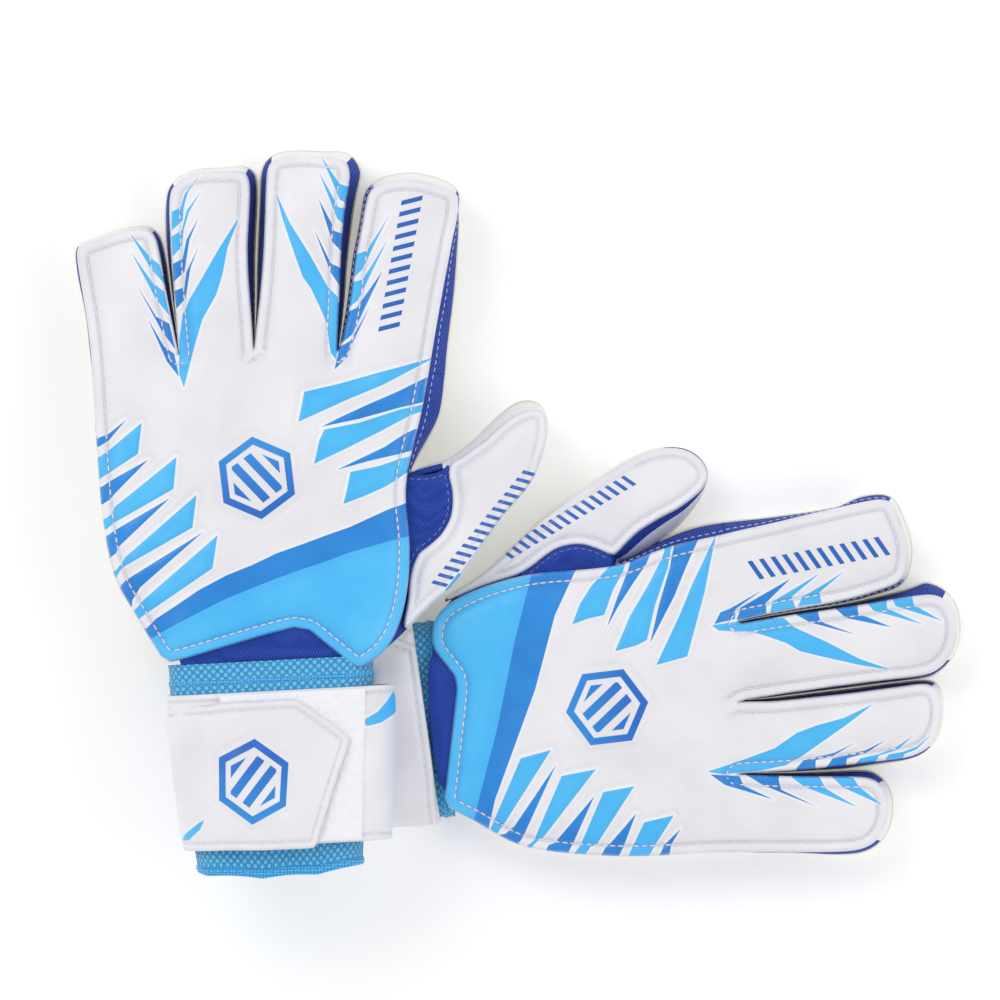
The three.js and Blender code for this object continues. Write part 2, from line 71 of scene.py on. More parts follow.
# the outlines are placed so that their fingertips meet the frame's own box
SHIFT = tuple(round(1000 * float(cad_box[1][i]) + EDGE_CLEAR - REACH[i], 1) for i in (0, 1))
SLOPE, LIFT_Y = 0.125, 130.9    # the left glove rises from its fingertips to its cuff
DIGITS = ("pinky", "ring", "middle", "index")
NODE = {"pinky": "little", "ring": "ring", "middle": "middle", "index": "index"}

LEFT = {
    "pinky": [(-152.6, 49.5), (-153.4, 59.6), (-154.8, 70.4), (-156.2, 78.7), (-157.7, 86.9), (-158.6, 93.4), (-158, 95.9), (-155.5, 96.8), (-150.5, 98.8), (-145.1, 100.6), (-139.7, 101.9), (-135, 102.4), (-132.1, 101.5), (-130.3, 98.8), (-129.2, 94.1), (-128.3, 89.1), (-127.4, 83.3), (-125.8, 75.1), (-123.8, 65.3), (-122, 56.7)],
    "ring": [(-121.7, 57.1), (-122.6, 66.1), (-123.3, 75.1), (-123.8, 82.3), (-124.6, 91.3), (-124.9, 100.3), (-125.3, 108.5), (-125.1, 113.9), (-124.4, 116.8), (-122.4, 119.3), (-119.5, 121.3), (-116.3, 122.6), (-112.3, 123.1), (-107.3, 123.1), (-103, 123.1), (-99.4, 123.1), (-97.6, 121.7), (-96.7, 118.3), (-96.7, 112.9), (-97.2, 103.9), (-97.6, 96.7), (-97.4, 87.7), (-96.7, 78.7), (-95.8, 67.9), (-95.2, 58.9)],
    "middle": [(-94.7, 59.2), (-93.8, 67.9), (-92.7, 76.9), (-92, 84.8), (-91.3, 94.9), (-90.9, 105.7), (-90.6, 116.5), (-90.2, 122.9), (-89.3, 125.8), (-87.1, 127.6), (-83.9, 128.5), (-79.2, 128.9), (-74.2, 128.8), (-69.1, 128.2), (-64.1, 127.8), (-61.7, 126.2), (-60.7, 122.6), (-61.2, 117.2), (-62.5, 110.7), (-63.2, 103.5), (-63.7, 96.3), (-64.1, 89.1), (-64.4, 80.5), (-64.8, 71.5), (-65.1, 64.3), (-65.2, 58.1)],
    "index": [(-64.6, 58.1), (-63.2, 61.7), (-61.4, 68.9), (-60.3, 75.1), (-59.4, 82.3), (-58.5, 90.5), (-57.4, 96.7), (-56.3, 102.1), (-55.4, 107.5), (-54.5, 112.1), (-53.6, 115.4), (-51.8, 117.5), (-48.2, 119.2), (-43.6, 120.1), (-38.2, 120.2), (-33.5, 119.5), (-28.8, 117.9), (-24.5, 116.6), (-22.1, 115), (-21.6, 111.4), (-22.1, 106.4), (-23.9, 98.5), (-25.2, 91.3), (-26.6, 84.1), (-27.9, 76.9), (-29.2, 69.7), (-30.4, 62.5), (-31.7, 54.5), (-32.4, 50.2)],
    "hand_r": [(-32.4, 50.2), (-33.7, 42.7), (-34.9, 36.5), (-36.4, 30.1), (-38.2, 22.9), (-39.8, 15.7), (-40.5, 9.5), (-40.5, 3.8), (-39.8, -2.3), (-39.1, -9.5), (-39.1, -16.7), (-39.5, -23.9), (-40.5, -31.1), (-42.3, -38.3), (-45, -44.8), (-48.1, -49.1), (-51.5, -52)],
    "wrist": [(-54.7, -54.2), (-57.2, -55.3), (-59.8, -53.8), (-67.7, -47.3), (-77, -39.8), (-91.1, -43.4), (-105.5, -47.7), (-119.2, -51.8), (-124.6, -52.9)],
    "hand_l": [(-127.8, -50.9), (-132.1, -44.1), (-135.7, -38), (-139, -32.6), (-142.6, -26.8), (-144.9, -21.4), (-147.2, -12.1), (-149.2, 1.3), (-150.3, 13.9), (-151.2, 26.5), (-151.9, 39.1), (-152.6, 49.5)],
    "hinge": {"pinky": [(-152.6, 49.5), (-122, 57.1)], "ring": [(-121.9, 57.4), (-95, 58.9)], "middle": [(-94.9, 59.2), (-65, 57.8)], "index": [(-64.8, 58.1), (-32, 50.2)]},
    "thumb": [(-39.2, 14.2), (-33.5, 17.1), (-27.7, 18.5), (-23.8, 20), (-20.2, 22.9), (-15.8, 26.5), (-12.2, 30.1), (-8.6, 33.7), (-5, 36.9), (-1.8, 39.2), (1.4, 40.5), (4.7, 40.7), (7.6, 39.6), (9.5, 37.1), (10.4, 33.7), (10.3, 29), (9.2, 24.3), (7.9, 19.6), (6.5, 15.3), (4, 10.6), (0.4, 6.3), (-4, 1.6), (-7.9, -3.4), (-11.5, -8.8), (-15.1, -14.2), (-19.1, -19.8), (-23, -24.7), (-26.6, -28.4), (-31, -31.9), (-36, -36.5), (-40.3, -41.2)],
    "thumb_back": [(-24.5, 18), (-20.2, 20.3), (-16.2, 23.2), (-12.2, 25.9), (-8.6, 29.2), (-5, 32.6), (-1.1, 35.3), (3.2, 36.9), (6.8, 37.4), (9, 36.5), (10.1, 33.3), (10.1, 29), (9.2, 24.3), (7.9, 19.6), (6.5, 15.3), (4, 10.6), (0.4, 6.3), (-4, 1.6), (-7.9, -3.4), (-11.5, -8.8), (-15.1, -14.2), (-19.1, -19.8), (-23, -24.7), (-26.6, -28.4), (-31, -31.9), (-36, -36.5), (-40.3, -41.2), (-41, -39.1), (-39.4, -31.1), (-39.1, -23.9), (-38.2, -20), (-36.9, -16.7), (-35.5, -14), (-31.3, -11), (-27.7, -7.7), (-25.2, -3.8), (-23.8, 0.2), (-23.4, 4.9), (-23.8, 9.2), (-25, 13.9)],
    "side_r": [(-21.6, 110), (-21.2, 103.9), (-21.8, 94.9), (-22.5, 84.1), (-23.4, 75.1), (-24.3, 67.9), (-25.4, 58.9), (-26.1, 49.9), (-27, 40.9), (-28.3, 34.7), (-30.6, 30.1), (-33.1, 25.7), (-35.6, 21.4), (-38.5, 16.7)],
    "patch": [(-40.1, 14.2), (-35.3, 13.7), (-30.2, 14.2), (-26.6, 15.7), (-24.7, 18.2), (-24.8, 13.9), (-23.8, 9.2), (-23.4, 4.9), (-23.8, 0.2), (-25.2, -3.8), (-27.7, -7.7), (-31.3, -11), (-35.5, -14), (-36.9, -16.7), (-38.2, -20), (-39.1, -23.9), (-41, -23.9), (-41, -9.5), (-42.1, 4.9), (-41.8, 12.8)],
    "thumb_hinge": [(-38.5, 14.2), (-38.9, -41.2)],
    "insert": [(-121.7, -50.9), (-114.5, -47.3), (-105.5, -44.5), (-91.1, -40.1), (-77.4, -36.2), (-67, -42.7), (-57.6, -51.7), (-59, -56.3), (-78.5, -56.7), (-100.1, -57.1), (-120.2, -56)],
}
RIGHT = {
    "pinky": [(78.1, -121.7), (87.1, -121.7), (97.9, -121.7), (108.7, -121.7), (117.7, -121.5), (123.1, -120.8), (127.4, -119), (130.3, -116.1), (132.3, -112.1), (133.2, -107.5), (133, -103.1), (131.8, -99.5), (129.6, -96.8), (126, -95.2), (119.5, -94.9), (108.7, -94.9), (97.9, -94.8), (87.8, -94.5), (78.8, -94.1)],
    "ring": [(80.3, -93.4), (90.7, -92.9), (101.5, -92.2), (112.3, -91.1), (123.1, -89.8), (132.1, -88.7), (139.3, -87.8), (144, -86.4), (147.6, -84.2), (150.1, -80.8), (151.9, -76.1), (152.5, -71.5), (152.1, -67.1), (150.5, -63.5), (148, -61.6), (144, -61.6), (139.3, -62.3), (130.3, -63.5), (119.5, -65), (108.7, -66.1), (97.9, -67.3), (90.7, -67.9), (82.8, -67.9), (79, -68)],
    "middle": [(82.5, -66.7), (90.7, -65.5), (97.9, -64.3), (105.1, -63.4), (112.3, -62.3), (119.5, -61.4), (126.7, -60.5), (133.9, -59.6), (141.1, -58.9), (146.5, -58.1), (150.8, -56.3), (154.4, -52.9), (156.8, -48.8), (158, -43.7), (158, -39.1), (156.8, -35.1), (154.8, -32.2), (151.9, -30.1), (148.3, -29.3), (142.9, -29.9), (137.5, -30.6), (130.3, -31.9), (123.1, -33.1), (115.9, -34.2), (108.7, -35.3), (101.5, -36.2), (94.3, -37.4), (87.1, -38.5), (80.3, -39.8)],
    "index": [(78.8, -38.7), (81.7, -37.8), (87.1, -36.7), (94.3, -35.3), (101.5, -34), (108.7, -32.8), (115.9, -31.5), (121.3, -30.2), (126.7, -28.6), (132.1, -26.8), (136.4, -25.2), (139, -22.5), (140.2, -17.5), (140.4, -12.4), (139.3, -7.4), (137.5, -3.1), (136.1, 0.9), (134.3, 4), (131, 5), (126, 4.3), (119.5, 2.9), (113, 1.4), (106.9, 0), (100.8, -1.4), (94.3, -3.1), (87.1, -4.7), (80.6, -6.1), (74.5, -7.6)],
    "hand_r": [(74.5, -7.6), (69.1, -8.8), (64.8, -9.7), (60.5, -10.6), (55.4, -11.9), (50.4, -13.5), (45.7, -15.3), (41, -17.3), (36.7, -18.7), (31.3, -19.6), (25.9, -20.2), (19.4, -20.7), (12.2, -21.1), (6.1, -21.8), (-0.4, -23), (-6.5, -24.7), (-13, -26.8), (-18.7, -29.2), (-23.8, -31.9), (-27.7, -35.1)],
    "wrist": [(-29.9, -38.7), (-30.8, -42.7), (-30.6, -48.4), (-25.9, -54.2), (-21.6, -59.9), (-22.7, -71.5), (-24.1, -83.3), (-25.7, -97.7), (-26.3, -102.4)],
    "hand_l": [(-24.8, -105.7), (-20.2, -108.2), (-15.8, -110.3), (-11.5, -112.9), (-7.2, -115.4), (-2.2, -118.1), (3.6, -120.1), (10.8, -121.3), (20.5, -122.4), (29.5, -122.9), (38.5, -123.3), (47.5, -123.1), (58.3, -122.6), (68.4, -121.9), (78.1, -121.7)],
    "hinge": {"pinky": [(78.1, -121.7), (78.8, -94.1)], "ring": [(80.3, -93.4), (79, -68)], "middle": [(82.5, -66.7), (79.6, -39.8)], "index": [(78.8, -38.7), (74.5, -7.6)]},
    "thumb": [(34.2, -19.3), (38.2, -18.2), (42.8, -16.4), (47.9, -13.1), (52.9, -9), (57.6, -4.7), (61.9, 0), (65.2, 4.5), (67.3, 8.8), (68.6, 13.5), (67.9, 17.1), (65.2, 20.5), (60.8, 23), (55.1, 23.9), (49.3, 23.3), (43.9, 21.4), (37.4, 18), (30.6, 13.7), (23.4, 8.6), (16.2, 3.8), (9, -1.4), (2.2, -8.1), (-4.7, -14.8), (-11.2, -20.7), (-16.6, -24.7), (-22.3, -28.1), (-26.6, -31.1)],
    "thumb_back": [(34.2, -15.3), (36.7, -13), (40, -9.4), (43.6, -6.1), (47.9, -3.4), (52.2, -0.9), (56.9, 1.4), (61.6, 4.7), (65.9, 8.3), (68, 11.7), (68.2, 14.2), (67.1, 17.5), (64.8, 20.2), (60.8, 22.7), (55.1, 23.6), (49.3, 22.9), (43.9, 21.1), (37.4, 17.6), (30.6, 13.3), (23.4, 8.3), (16.2, 3.4), (9, -1.8), (2.2, -8.5), (-4.7, -15.1), (-11.2, -20.9), (-16.6, -24.8), (-22.3, -28.3), (-25.9, -31.5), (-21.6, -30.1), (-14.4, -27), (-7.2, -24.5), (-0.4, -22.5), (4.7, -19.4), (9, -15.8), (13.3, -12.8), (18.4, -11.2), (23.4, -11), (28.4, -12.6)],
    "side_r": [(113, 1.8), (106.9, 0.7), (97.9, -0.5), (88.9, -1.6), (79.9, -2.5), (70.9, -3.4), (63.7, -4.9), (56.5, -7.4), (50, -10.4), (44.6, -13.3), (40.3, -16), (36.7, -18.2)],
    "patch": [(34.2, -15.7), (31.3, -14), (28.4, -12.6), (23.4, -11), (18.4, -11.2), (13.3, -12.8), (9, -15.8), (4.7, -19.4), (-0.4, -22.7), (4.3, -23.6), (15.1, -22.9), (25.9, -22.1), (33.8, -21.1)],
    "thumb_hinge": [(35.3, -17.8), (-22.7, -30.1)],
    "insert": [(-29.2, -47.7), (-25.2, -50.9), (-20.5, -55.6), (-18, -60.3), (-18.7, -71.5), (-20.5, -84.4), (-22.3, -99.5), (-28.1, -99.5), (-31, -83.3), (-32, -71.5), (-32.4, -59.9), (-31.7, -52.7)],
}
LEFT_PRINT = [
    ('L', 'f', [(-139.7, 101), (-132.1, 92), (-128.9, 89.5), (-127.1, 82.6), (-131.8, 87.7)]),
    ('L', 'f', [(-139.1, 94), (-131.4, 83), (-127.1, 79.7), (-125.3, 71.1), (-130, 76.9)]),
    ('M', 'f', [(-137.3, 82.7), (-130, 70.7), (-125.3, 68.2), (-123.1, 58.9), (-127.8, 65.3)]),
    ('M', 'f', [(-132.9, 69.8), (-127.1, 59.9), (-123.5, 57.4), (-121.7, 49.1), (-126, 54.5)]),
    ('L', 'f', [(-114.3, 122.2), (-119.9, 115), (-121.3, 110.3), (-124.6, 108.5), (-124.6, 101.7), (-120.6, 105.5), (-120.2, 110.3), (-118.8, 115.4)]),
    ('L', 'f', [(-114.1, 115.8), (-119.2, 108.9), (-120.8, 102.1), (-124.6, 99.5), (-124.2, 92.3), (-121, 95.9), (-120.2, 102.1), (-118.4, 108.2)]),
    ('M', 'f', [(-114.8, 106.4), (-119.2, 98.5), (-120.6, 91.6), (-124.2, 89.8), (-123.8, 83.3), (-119.9, 86.9), (-118.1, 98.5)]),
    ('M', 'f', [(-114.7, 96), (-119.2, 86.9), (-119.9, 81.4), (-123.5, 80.1), (-122.8, 73.6), (-119.5, 77.2), (-117.7, 88.4)]),
    ('L', 'f', [(-100.1, 107.1), (-104.4, 95.6), (-106.2, 85.9), (-108.4, 78.7), (-113.4, 69.7), (-115.2, 63.5), (-117, 57.1), (-119.9, 45.2), (-121.7, 50.2), (-121.7, 62.5), (-120.6, 71.5), (-119.2, 74), (-118.1, 76.9), (-114.5, 83), (-107.3, 95.6)]),
    ('L', 'f', [(-87.1, 115.4), (-82.1, 104.6), (-74.9, 93.1), (-68.4, 81.5), (-64.8, 77.9), (-64.4, 68.6), (-65.2, 55.3), (-67.3, 57.8), (-68, 62.5), (-68.8, 68.6), (-71.3, 74.3), (-74.2, 80.5), (-77.4, 85.1), (-80.3, 93.1), (-84.6, 105.7)]),
    ('L', 'f', [(-70.9, 128.7), (-65.9, 121.1), (-64.1, 118.6), (-59.8, 117.2), (-61.2, 111.4), (-64.1, 112.9), (-64.8, 114.7)]),
    ('L', 'f', [(-71.6, 122.8), (-66.6, 113.9), (-64.8, 110.3), (-61.2, 109.4), (-61.9, 103.5), (-65, 106)]),
    ('M', 'f', [(-71.7, 113.2), (-66.8, 103.9), (-66.2, 101.7), (-61.9, 100.3), (-63, 93.8), (-66.8, 97.7)]),
    ('M', 'f', [(-73.3, 102.1), (-68, 91.3), (-67, 89.8), (-63, 88), (-63.7, 81.2), (-67.3, 86.6)]),
    ('L', 'f', [(-46.1, 107.5), (-54.4, 94.5), (-58.7, 93.1), (-59.8, 84.1), (-56, 87.7), (-50.8, 98.5)]),
    ('L', 'f', [(-46.8, 98.5), (-55.8, 84.1), (-60.5, 83), (-61.9, 73.3), (-57.6, 76.5)]),
    ('M', 'f', [(-48.6, 87.3), (-58, 74), (-62.3, 71.8), (-64.4, 60.3), (-59.6, 64.3)]),
    ('M', 'f', [(-52.9, 75.1), (-60.1, 62.1), (-64.1, 59.9), (-65.9, 51.7), (-61.2, 56.3), (-60.1, 59.9)]),
    ('M', 'hl', [(-140.6, 33.7), (-146.9, 28.6), (-152.6, 26.5), (-152.3, 22.9), (-146.9, 26.1)]),
    ('L', 'hl', [(-135, 32.6), (-136.3, 21.4), (-146.2, 14.9), (-151.9, 11.3), (-152.3, 18.9), (-146.5, 22.9)]),
    ('M', 'hl', [(-132.5, 19.4), (-146.2, 11.7), (-151.6, 8.1), (-151.2, 2), (-146.5, 4.9), (-144.7, 7)]),
    ('L', 'hl', [(-122.4, 20.3), (-123.5, 8.8), (-144.4, -3.1), (-149.8, -7.4), (-150.5, -3.8), (-145.4, 0.2), (-144.7, 2.3)]),
    ('M', 'hl', [(-124.7, 5.6), (-144.4, -5.9), (-149.4, -9.4), (-148.1, -17.1), (-144, -14.2), (-143.3, -12.1)]),
    ('L', 'hl', [(-115.2, 6.7), (-116.6, -5), (-141.8, -19.4), (-145.4, -25), (-146.5, -22.9), (-142.6, -18.5), (-140.8, -15.7)]),
    ('M', 'hl', [(-112.8, -6.6), (-140.6, -23.9), (-144, -27.5), (-138.6, -36.2), (-138.2, -31.1), (-135.4, -26.5)]),
    ('L', 'hl', [(-107.6, -7.7), (-109.4, -19.6), (-135.4, -37.4), (-137.5, -38.3), (-137.5, -34.7), (-134.3, -31.1)]),
    ('L', 'hr', [(-76.7, 43.7), (-64.1, 46.6), (-51.5, 50.2), (-40.7, 53.1), (-29.5, 56.3), (-48.2, 46.3), (-60.5, 41.2), (-78.8, 32.9)]),
    ('M', 'hr', [(-70.6, 31.1), (-64.1, 34.4), (-53.3, 39.4), (-42.5, 44.1), (-38.2, 46.3), (-30.2, 50.2), (-32, 40.5), (-42.5, 38), (-56.9, 34)]),
    ('L', 'hr', [(-69.5, 30.1), (-56.9, 32.6), (-42.5, 37.3), (-32.8, 39.4), (-34.2, 36.9), (-38.9, 35.1), (-49.7, 29.3), (-60.5, 23.9), (-73.1, 17.8), (-71.3, 26.1)]),
    ('M', 'hr', [(-64.8, 15.7), (-56.9, 19.6), (-47.9, 23.9), (-40.7, 28.6), (-34.6, 31.5), (-36.7, 22.9), (-42.5, 21.4), (-53.3, 18.9)]),
    ('L', 'hr', [(-60.1, 14.9), (-49.7, 17.1), (-42.5, 19.6), (-36.7, 21.1), (-38.2, 16), (-43.6, 12.1), (-47.9, 9.5), (-55.1, 6.3), (-62.6, 3.4), (-61.2, 9.2)]),
    ('M', 'band', [(-136.1, -42.7), (-133.2, -41.2), (-129.6, -37.6), (-122.4, -32.9), (-114.5, -27.5), (-104.4, -22.1), (-95.4, -18.5), (-86.4, -14.2), (-77.4, -11), (-67.7, -7.4), (-60.5, -4.9), (-46.3, 1.6), (-40.5, 3.6), (-37.4, 4.5), (-36.4, -7), (-39.2, -8.1), (-46.3, -9.9), (-60.5, -14), (-67.7, -16.7), (-77.4, -20), (-86.4, -23.2), (-95.4, -26.8), (-104.4, -30.4), (-114.5, -35.5), (-125.3, -41.2), (-131.6, -44.8), (-134.3, -46.3)]),
    ('L', 'field', [(-134.3, -46.3), (-131.6, -44.8), (-125.3, -41.2), (-114.5, -35.5), (-104.4, -30.4), (-95.4, -26.8), (-86.4, -23.2), (-77.4, -20), (-67.7, -16.7), (-60.5, -14), (-46.3, -9.9), (-39.2, -8.1), (-36.4, -7), (-36, -23.9), (-37.4, -38.3), (-42.5, -50.9), (-47.9, -57.1), (-64.1, -57.1), (-96.5, -57.1), (-125.3, -56.3), (-130.7, -55.6), (-132.5, -50.9)]),
]
RIGHT_PRINT = [
    ('L', 'f', [(131.3, -105.1), (122.7, -98.3), (120.9, -95.2), (112.4, -94.3), (117, -98.6)]),
    ('L', 'f', [(122, -105.6), (110.8, -99), (108.5, -94.8), (97.5, -94.2), (103.1, -98.4)]),
    ('M', 'f', [(107.5, -105.5), (94.7, -99.4), (93.6, -94.7), (81.8, -93.9), (88.4, -97.9)]),
    ('M', 'f', [(91.9, -102.9), (81.3, -98), (79.7, -94.5), (69.2, -93.9), (74.5, -97.7)]),
    ('L', 'f', [(149.3, -79.2), (143.5, -84.9), (139, -86.7), (138.2, -89.8), (130.8, -90.6), (133.5, -86.7), (138.6, -85.8), (143.5, -83.9)]),
    ('L', 'f', [(142.4, -79.8), (136.7, -85), (129.9, -87.2), (128.5, -90.8), (120.6, -91.3), (123.3, -88.1), (129.7, -86.7), (135.6, -84.5)]),
    ('M', 'f', [(132.4, -81.5), (125.4, -86.2), (118.5, -88.2), (117.8, -91.6), (110.7, -92), (113.2, -88.2), (125, -85.3)]),
    ('M', 'f', [(121.2, -82.5), (113, -87.5), (107.2, -88.8), (107.1, -92.1), (99.8, -92.2), (102.6, -89), (114, -86.1)]),
    ('L', 'f', [(128, -68.5), (117.1, -73.6), (107.2, -76.3), (100.2, -79), (92.3, -84.5), (86.3, -86.7), (79.9, -89.1), (68.1, -92.9), (74.2, -93.9), (87.4, -92.5), (96.7, -90.6), (99, -89), (101.7, -87.7), (107, -83.9), (118.1, -76.1)]),
    ('L', 'f', [(134, -56.2), (122.7, -52.2), (111, -46.2), (99.2, -40.8), (95.8, -37.6), (85.1, -38.2), (69.7, -40.2), (72.2, -42.1), (77.4, -42.4), (84.3, -42.5), (90.3, -44.4), (96.7, -46.7), (101.4, -49.5), (109.9, -51.6), (123.4, -54.6)]),
    ('L', 'f', [(152.6, -38.6), (145, -34.3), (142.5, -32.8), (141.7, -28.6), (134.8, -30.6), (135.9, -33.3), (137.8, -33.9)]),
    ('L', 'f', [(145.7, -39.9), (136.6, -35.8), (132.9, -34.3), (132.6, -30.8), (125.6, -32.1), (127.9, -34.9)]),
    ('M', 'f', [(134.7, -41), (125, -37), (122.7, -36.6), (121.9, -32.5), (114.3, -34.2), (118, -37.6)]),
    ('M', 'f', [(121.6, -43.6), (110.4, -39.5), (108.9, -38.6), (107.7, -34.8), (99.7, -36.2), (105.1, -39.2)]),
    ('L', 'f', [(117.5, -20.7), (108.5, -28.4), (109.3, -32.2), (100.7, -33.4), (102.4, -30), (110.7, -25.1)]),
    ('L', 'f', [(108.6, -21.5), (98.6, -29.9), (99.9, -34.1), (90.7, -35.7), (91.7, -31.7)]),
    ('M', 'f', [(98.1, -23.4), (89.3, -32.1), (89.4, -36), (78.7, -38.3), (80.2, -33.8)]),
    ('M', 'f', [(87.8, -27.6), (78.3, -34.4), (78.1, -37.9), (70.6, -39.8), (72.9, -35.5), (76, -34.4)]),
    ('M', 'hl', [(58.6, -113.3), (55.2, -119.1), (54.4, -123.9), (50.6, -124), (52.6, -119.4)]),
    ('L', 'hl', [(56.1, -108.6), (45.4, -111.1), (41.3, -119.8), (39.1, -124.6), (46.7, -124.3), (49.3, -119.4)]),
    ('M', 'hl', [(42.5, -107.9), (38, -119.9), (35.8, -124.5), (29.5, -124.5), (31.3, -120.5), (33, -119)]),
    ('L', 'hl', [(41.8, -98.1), (30.7, -100.2), (22.6, -119.1), (19.4, -123.8), (23.3, -124.2), (26.2, -119.9), (28.3, -119.2)]),
    ('M', 'hl', [(27.5, -101.6), (19.6, -119.2), (17.2, -123.6), (9.1, -123), (11.1, -119.3), (13.1, -118.6)]),
    ('L', 'hl', [(28, -92), (15.7, -94.4), (5.7, -117.7), (1.4, -121.2), (3.5, -122), (6.6, -118.3), (9.1, -116.6)]),
    ('M', 'hl', [(13.7, -90.3), (1.6, -116.9), (-0.8, -120.1), (-8.3, -116.1), (-4.5, -115.3), (-1.2, -112.4)]),
    ('L', 'hl', [(11.9, -85), (1, -88), (-9.8, -113.2), (-10.1, -115.2), (-7.3, -115), (-5, -111.7)]),
    ('L', 'hr', [(60.9, -51.4), (64, -39.9), (67.2, -28), (69.2, -17.6), (71.5, -7.1), (62.9, -24.9), (58.1, -36.6), (49.7, -54.5)]),
    ('M', 'hr', [(47.5, -46.6), (50.8, -40.2), (56.2, -29.8), (60.4, -19.4), (62.2, -15.3), (65.6, -7.9), (56.5, -9.7), (54.6, -19.5), (50.6, -33.3)]),
    ('L', 'hr', [(46.4, -45.5), (49.2, -33.3), (53.9, -19.5), (55.5, -10.4), (53.2, -11.8), (51.8, -16.2), (46.3, -26.7), (40.3, -36.8), (34.9, -49.5), (42.7, -47.4)]),
    ('M', 'hr', [(31.9, -41.1), (36, -33.5), (41.3, -25.3), (46, -18.5), (48.5, -12.6), (40.9, -15.5), (39.5, -20.8), (35.7, -30.2)]),
    ('L', 'hr', [(31, -36.5), (34.3, -27.2), (37.8, -21), (39.3, -15.8), (34.4, -17.6), (29.7, -22.4), (26.4, -26.1), (22.3, -32.4), (19.5, -39.9), (25.2, -37.8)]),
    ('M', 'band', [(5.4, -19.6), (-1.1, -45.5), (-7.6, -77.9), (-13.7, -101.3), (-16.9, -115.4), (-11.2, -116.1), (-8.3, -103.1), (-1.1, -83.3), (6.1, -63.5), (13.3, -36.5), (21.6, -18.5)]),
    ('L', 'field', [(5.4, -19.6), (-1.1, -45.5), (-7.6, -77.9), (-13.7, -101.3), (-16.9, -115.4), (-28.1, -109.6), (-33.8, -88.7), (-33.8, -38.3), (-24.5, -27.5), (-6.5, -20.3)]),
]


# ---------------------------------------------------------------- plan geometry
def arr(p):
    return np.asarray(p, float).reshape(-1, 2)

def chaikin(p, n=2, closed=False):
    p = arr(p)
    for _ in range(n):
        if closed:
            q = np.roll(p, -1, axis=0)
            p = np.stack([p * .75 + q * .25, p * .25 + q * .75], 1).reshape(-1, 2)
        else:
            a, b = p[:-1], p[1:]
            m = np.stack([a * .75 + b * .25, a * .25 + b * .75], 1).reshape(-1, 2)
            p = np.vstack([p[:1], m[1:-1], p[-1:]])
    return p

def resample(p, step=None, closed=False, n=None):
    p = np.asarray(p, float)
    if closed:
        p = np.vstack([p, p[:1]])
    seg = np.linalg.norm(np.diff(p, axis=0), axis=1)
    keep = np.r_[True, seg > 1e-9]
    p = p[keep]
    s = np.r_[0, np.cumsum(np.linalg.norm(np.diff(p, axis=0), axis=1))]
    if n is None:
        n = max(2, int(round(s[-1] / step)) + 1)
    t = np.linspace(0, s[-1], n)
    out = np.stack([np.interp(t, s, p[:, k]) for k in range(p.shape[1])], 1)
    return out[:-1] if closed else out

def area(p):
    x, y = p[:, 0], p[:, 1]
    return 0.5 * np.sum(x * np.roll(y, -1) - np.roll(x, -1) * y)

def seg_dist(P, A, B):
    """distance of every point of P to the nearest of the segments A-B"""
    P, A, B = arr(P), arr(A), arr(B)
    D = B - A
    L = np.maximum((D ** 2).sum(1), 1e-12)
    best = np.empty(len(P))
    for i in range(0, len(P), 4000):
        q = P[i:i + 4000]
        t = np.clip(((q[:, None] - A[None]) * D[None]).sum(2) / L[None], 0, 1)
        r = q[:, None] - (A[None] + t[..., None] * D[None])
        best[i:i + 4000] = np.sqrt((r ** 2).sum(2).min(1))
    return best

def inside(P, poly):
    P, poly = arr(P), arr(poly)
    a, b = poly, np.roll(poly, -1, axis=0)
    out = np.zeros(len(P), bool)
    for i in range(0, len(P), 4000):
        q = P[i:i + 4000]
        x, y = q[:, 0:1], q[:, 1:2]
        c = (a[None, :, 1] > y) != (b[None, :, 1] > y)
        den = np.where(np.abs(b[:, 1] - a[:, 1]) < 1e-12, 1e-12, b[:, 1] - a[:, 1])
        xi = a[None, :, 0] + (y - a[None, :, 1]) / den[None] * (b[None, :, 0] - a[None, :, 0])
        out[i:i + 4000] = (np.sum(c & (x < xi), 1) % 2) == 1
    return out

def sdf(P, poly):
    poly = arr(poly)
    d = seg_dist(P, poly, np.roll(poly, -1, axis=0))
    return np.where(inside(P, poly), -d, d)

def union_sdf(P, polys):
    out = np.full(len(P), 99.0)
    for q in polys:
        q = arr(q)
        lo, hi = q.min(0) - 8, q.max(0) + 8
        m = np.all((P >= lo) & (P <= hi), axis=1)
        if m.any():
            out[m] = np.minimum(out[m], sdf(P[m], q))
    return out

def normals2(p, closed):
    """left normals of a polyline"""
    if closed:
        t = np.roll(p, -1, axis=0) - np.roll(p, 1, axis=0)
    else:
        t = np.gradient(p, axis=0)
    t /= np.maximum(np.linalg.norm(t, axis=1, keepdims=True), 1e-9)
    return np.stack([-t[:, 1], t[:, 0]], 1)

def smooth01(x):
    x = np.clip(x, 0, 1)
    return x * x * (3 - 2 * x)

def ripple(P, seed, scale, n=7):
    """smooth seeded unevenness, about -1 to 1"""
    r = np.random.default_rng(seed)
    out = 0
    for _ in range(n):
        a, ph, f = r.uniform(0, 6.283), r.uniform(0, 6.283), r.uniform(.6, 1.7) / scale
        out = out + np.sin((P[:, 0] * math.cos(a) + P[:, 1] * math.sin(a)) * f * 6.283 + ph)
    return out / (n ** .5 * 1.2)

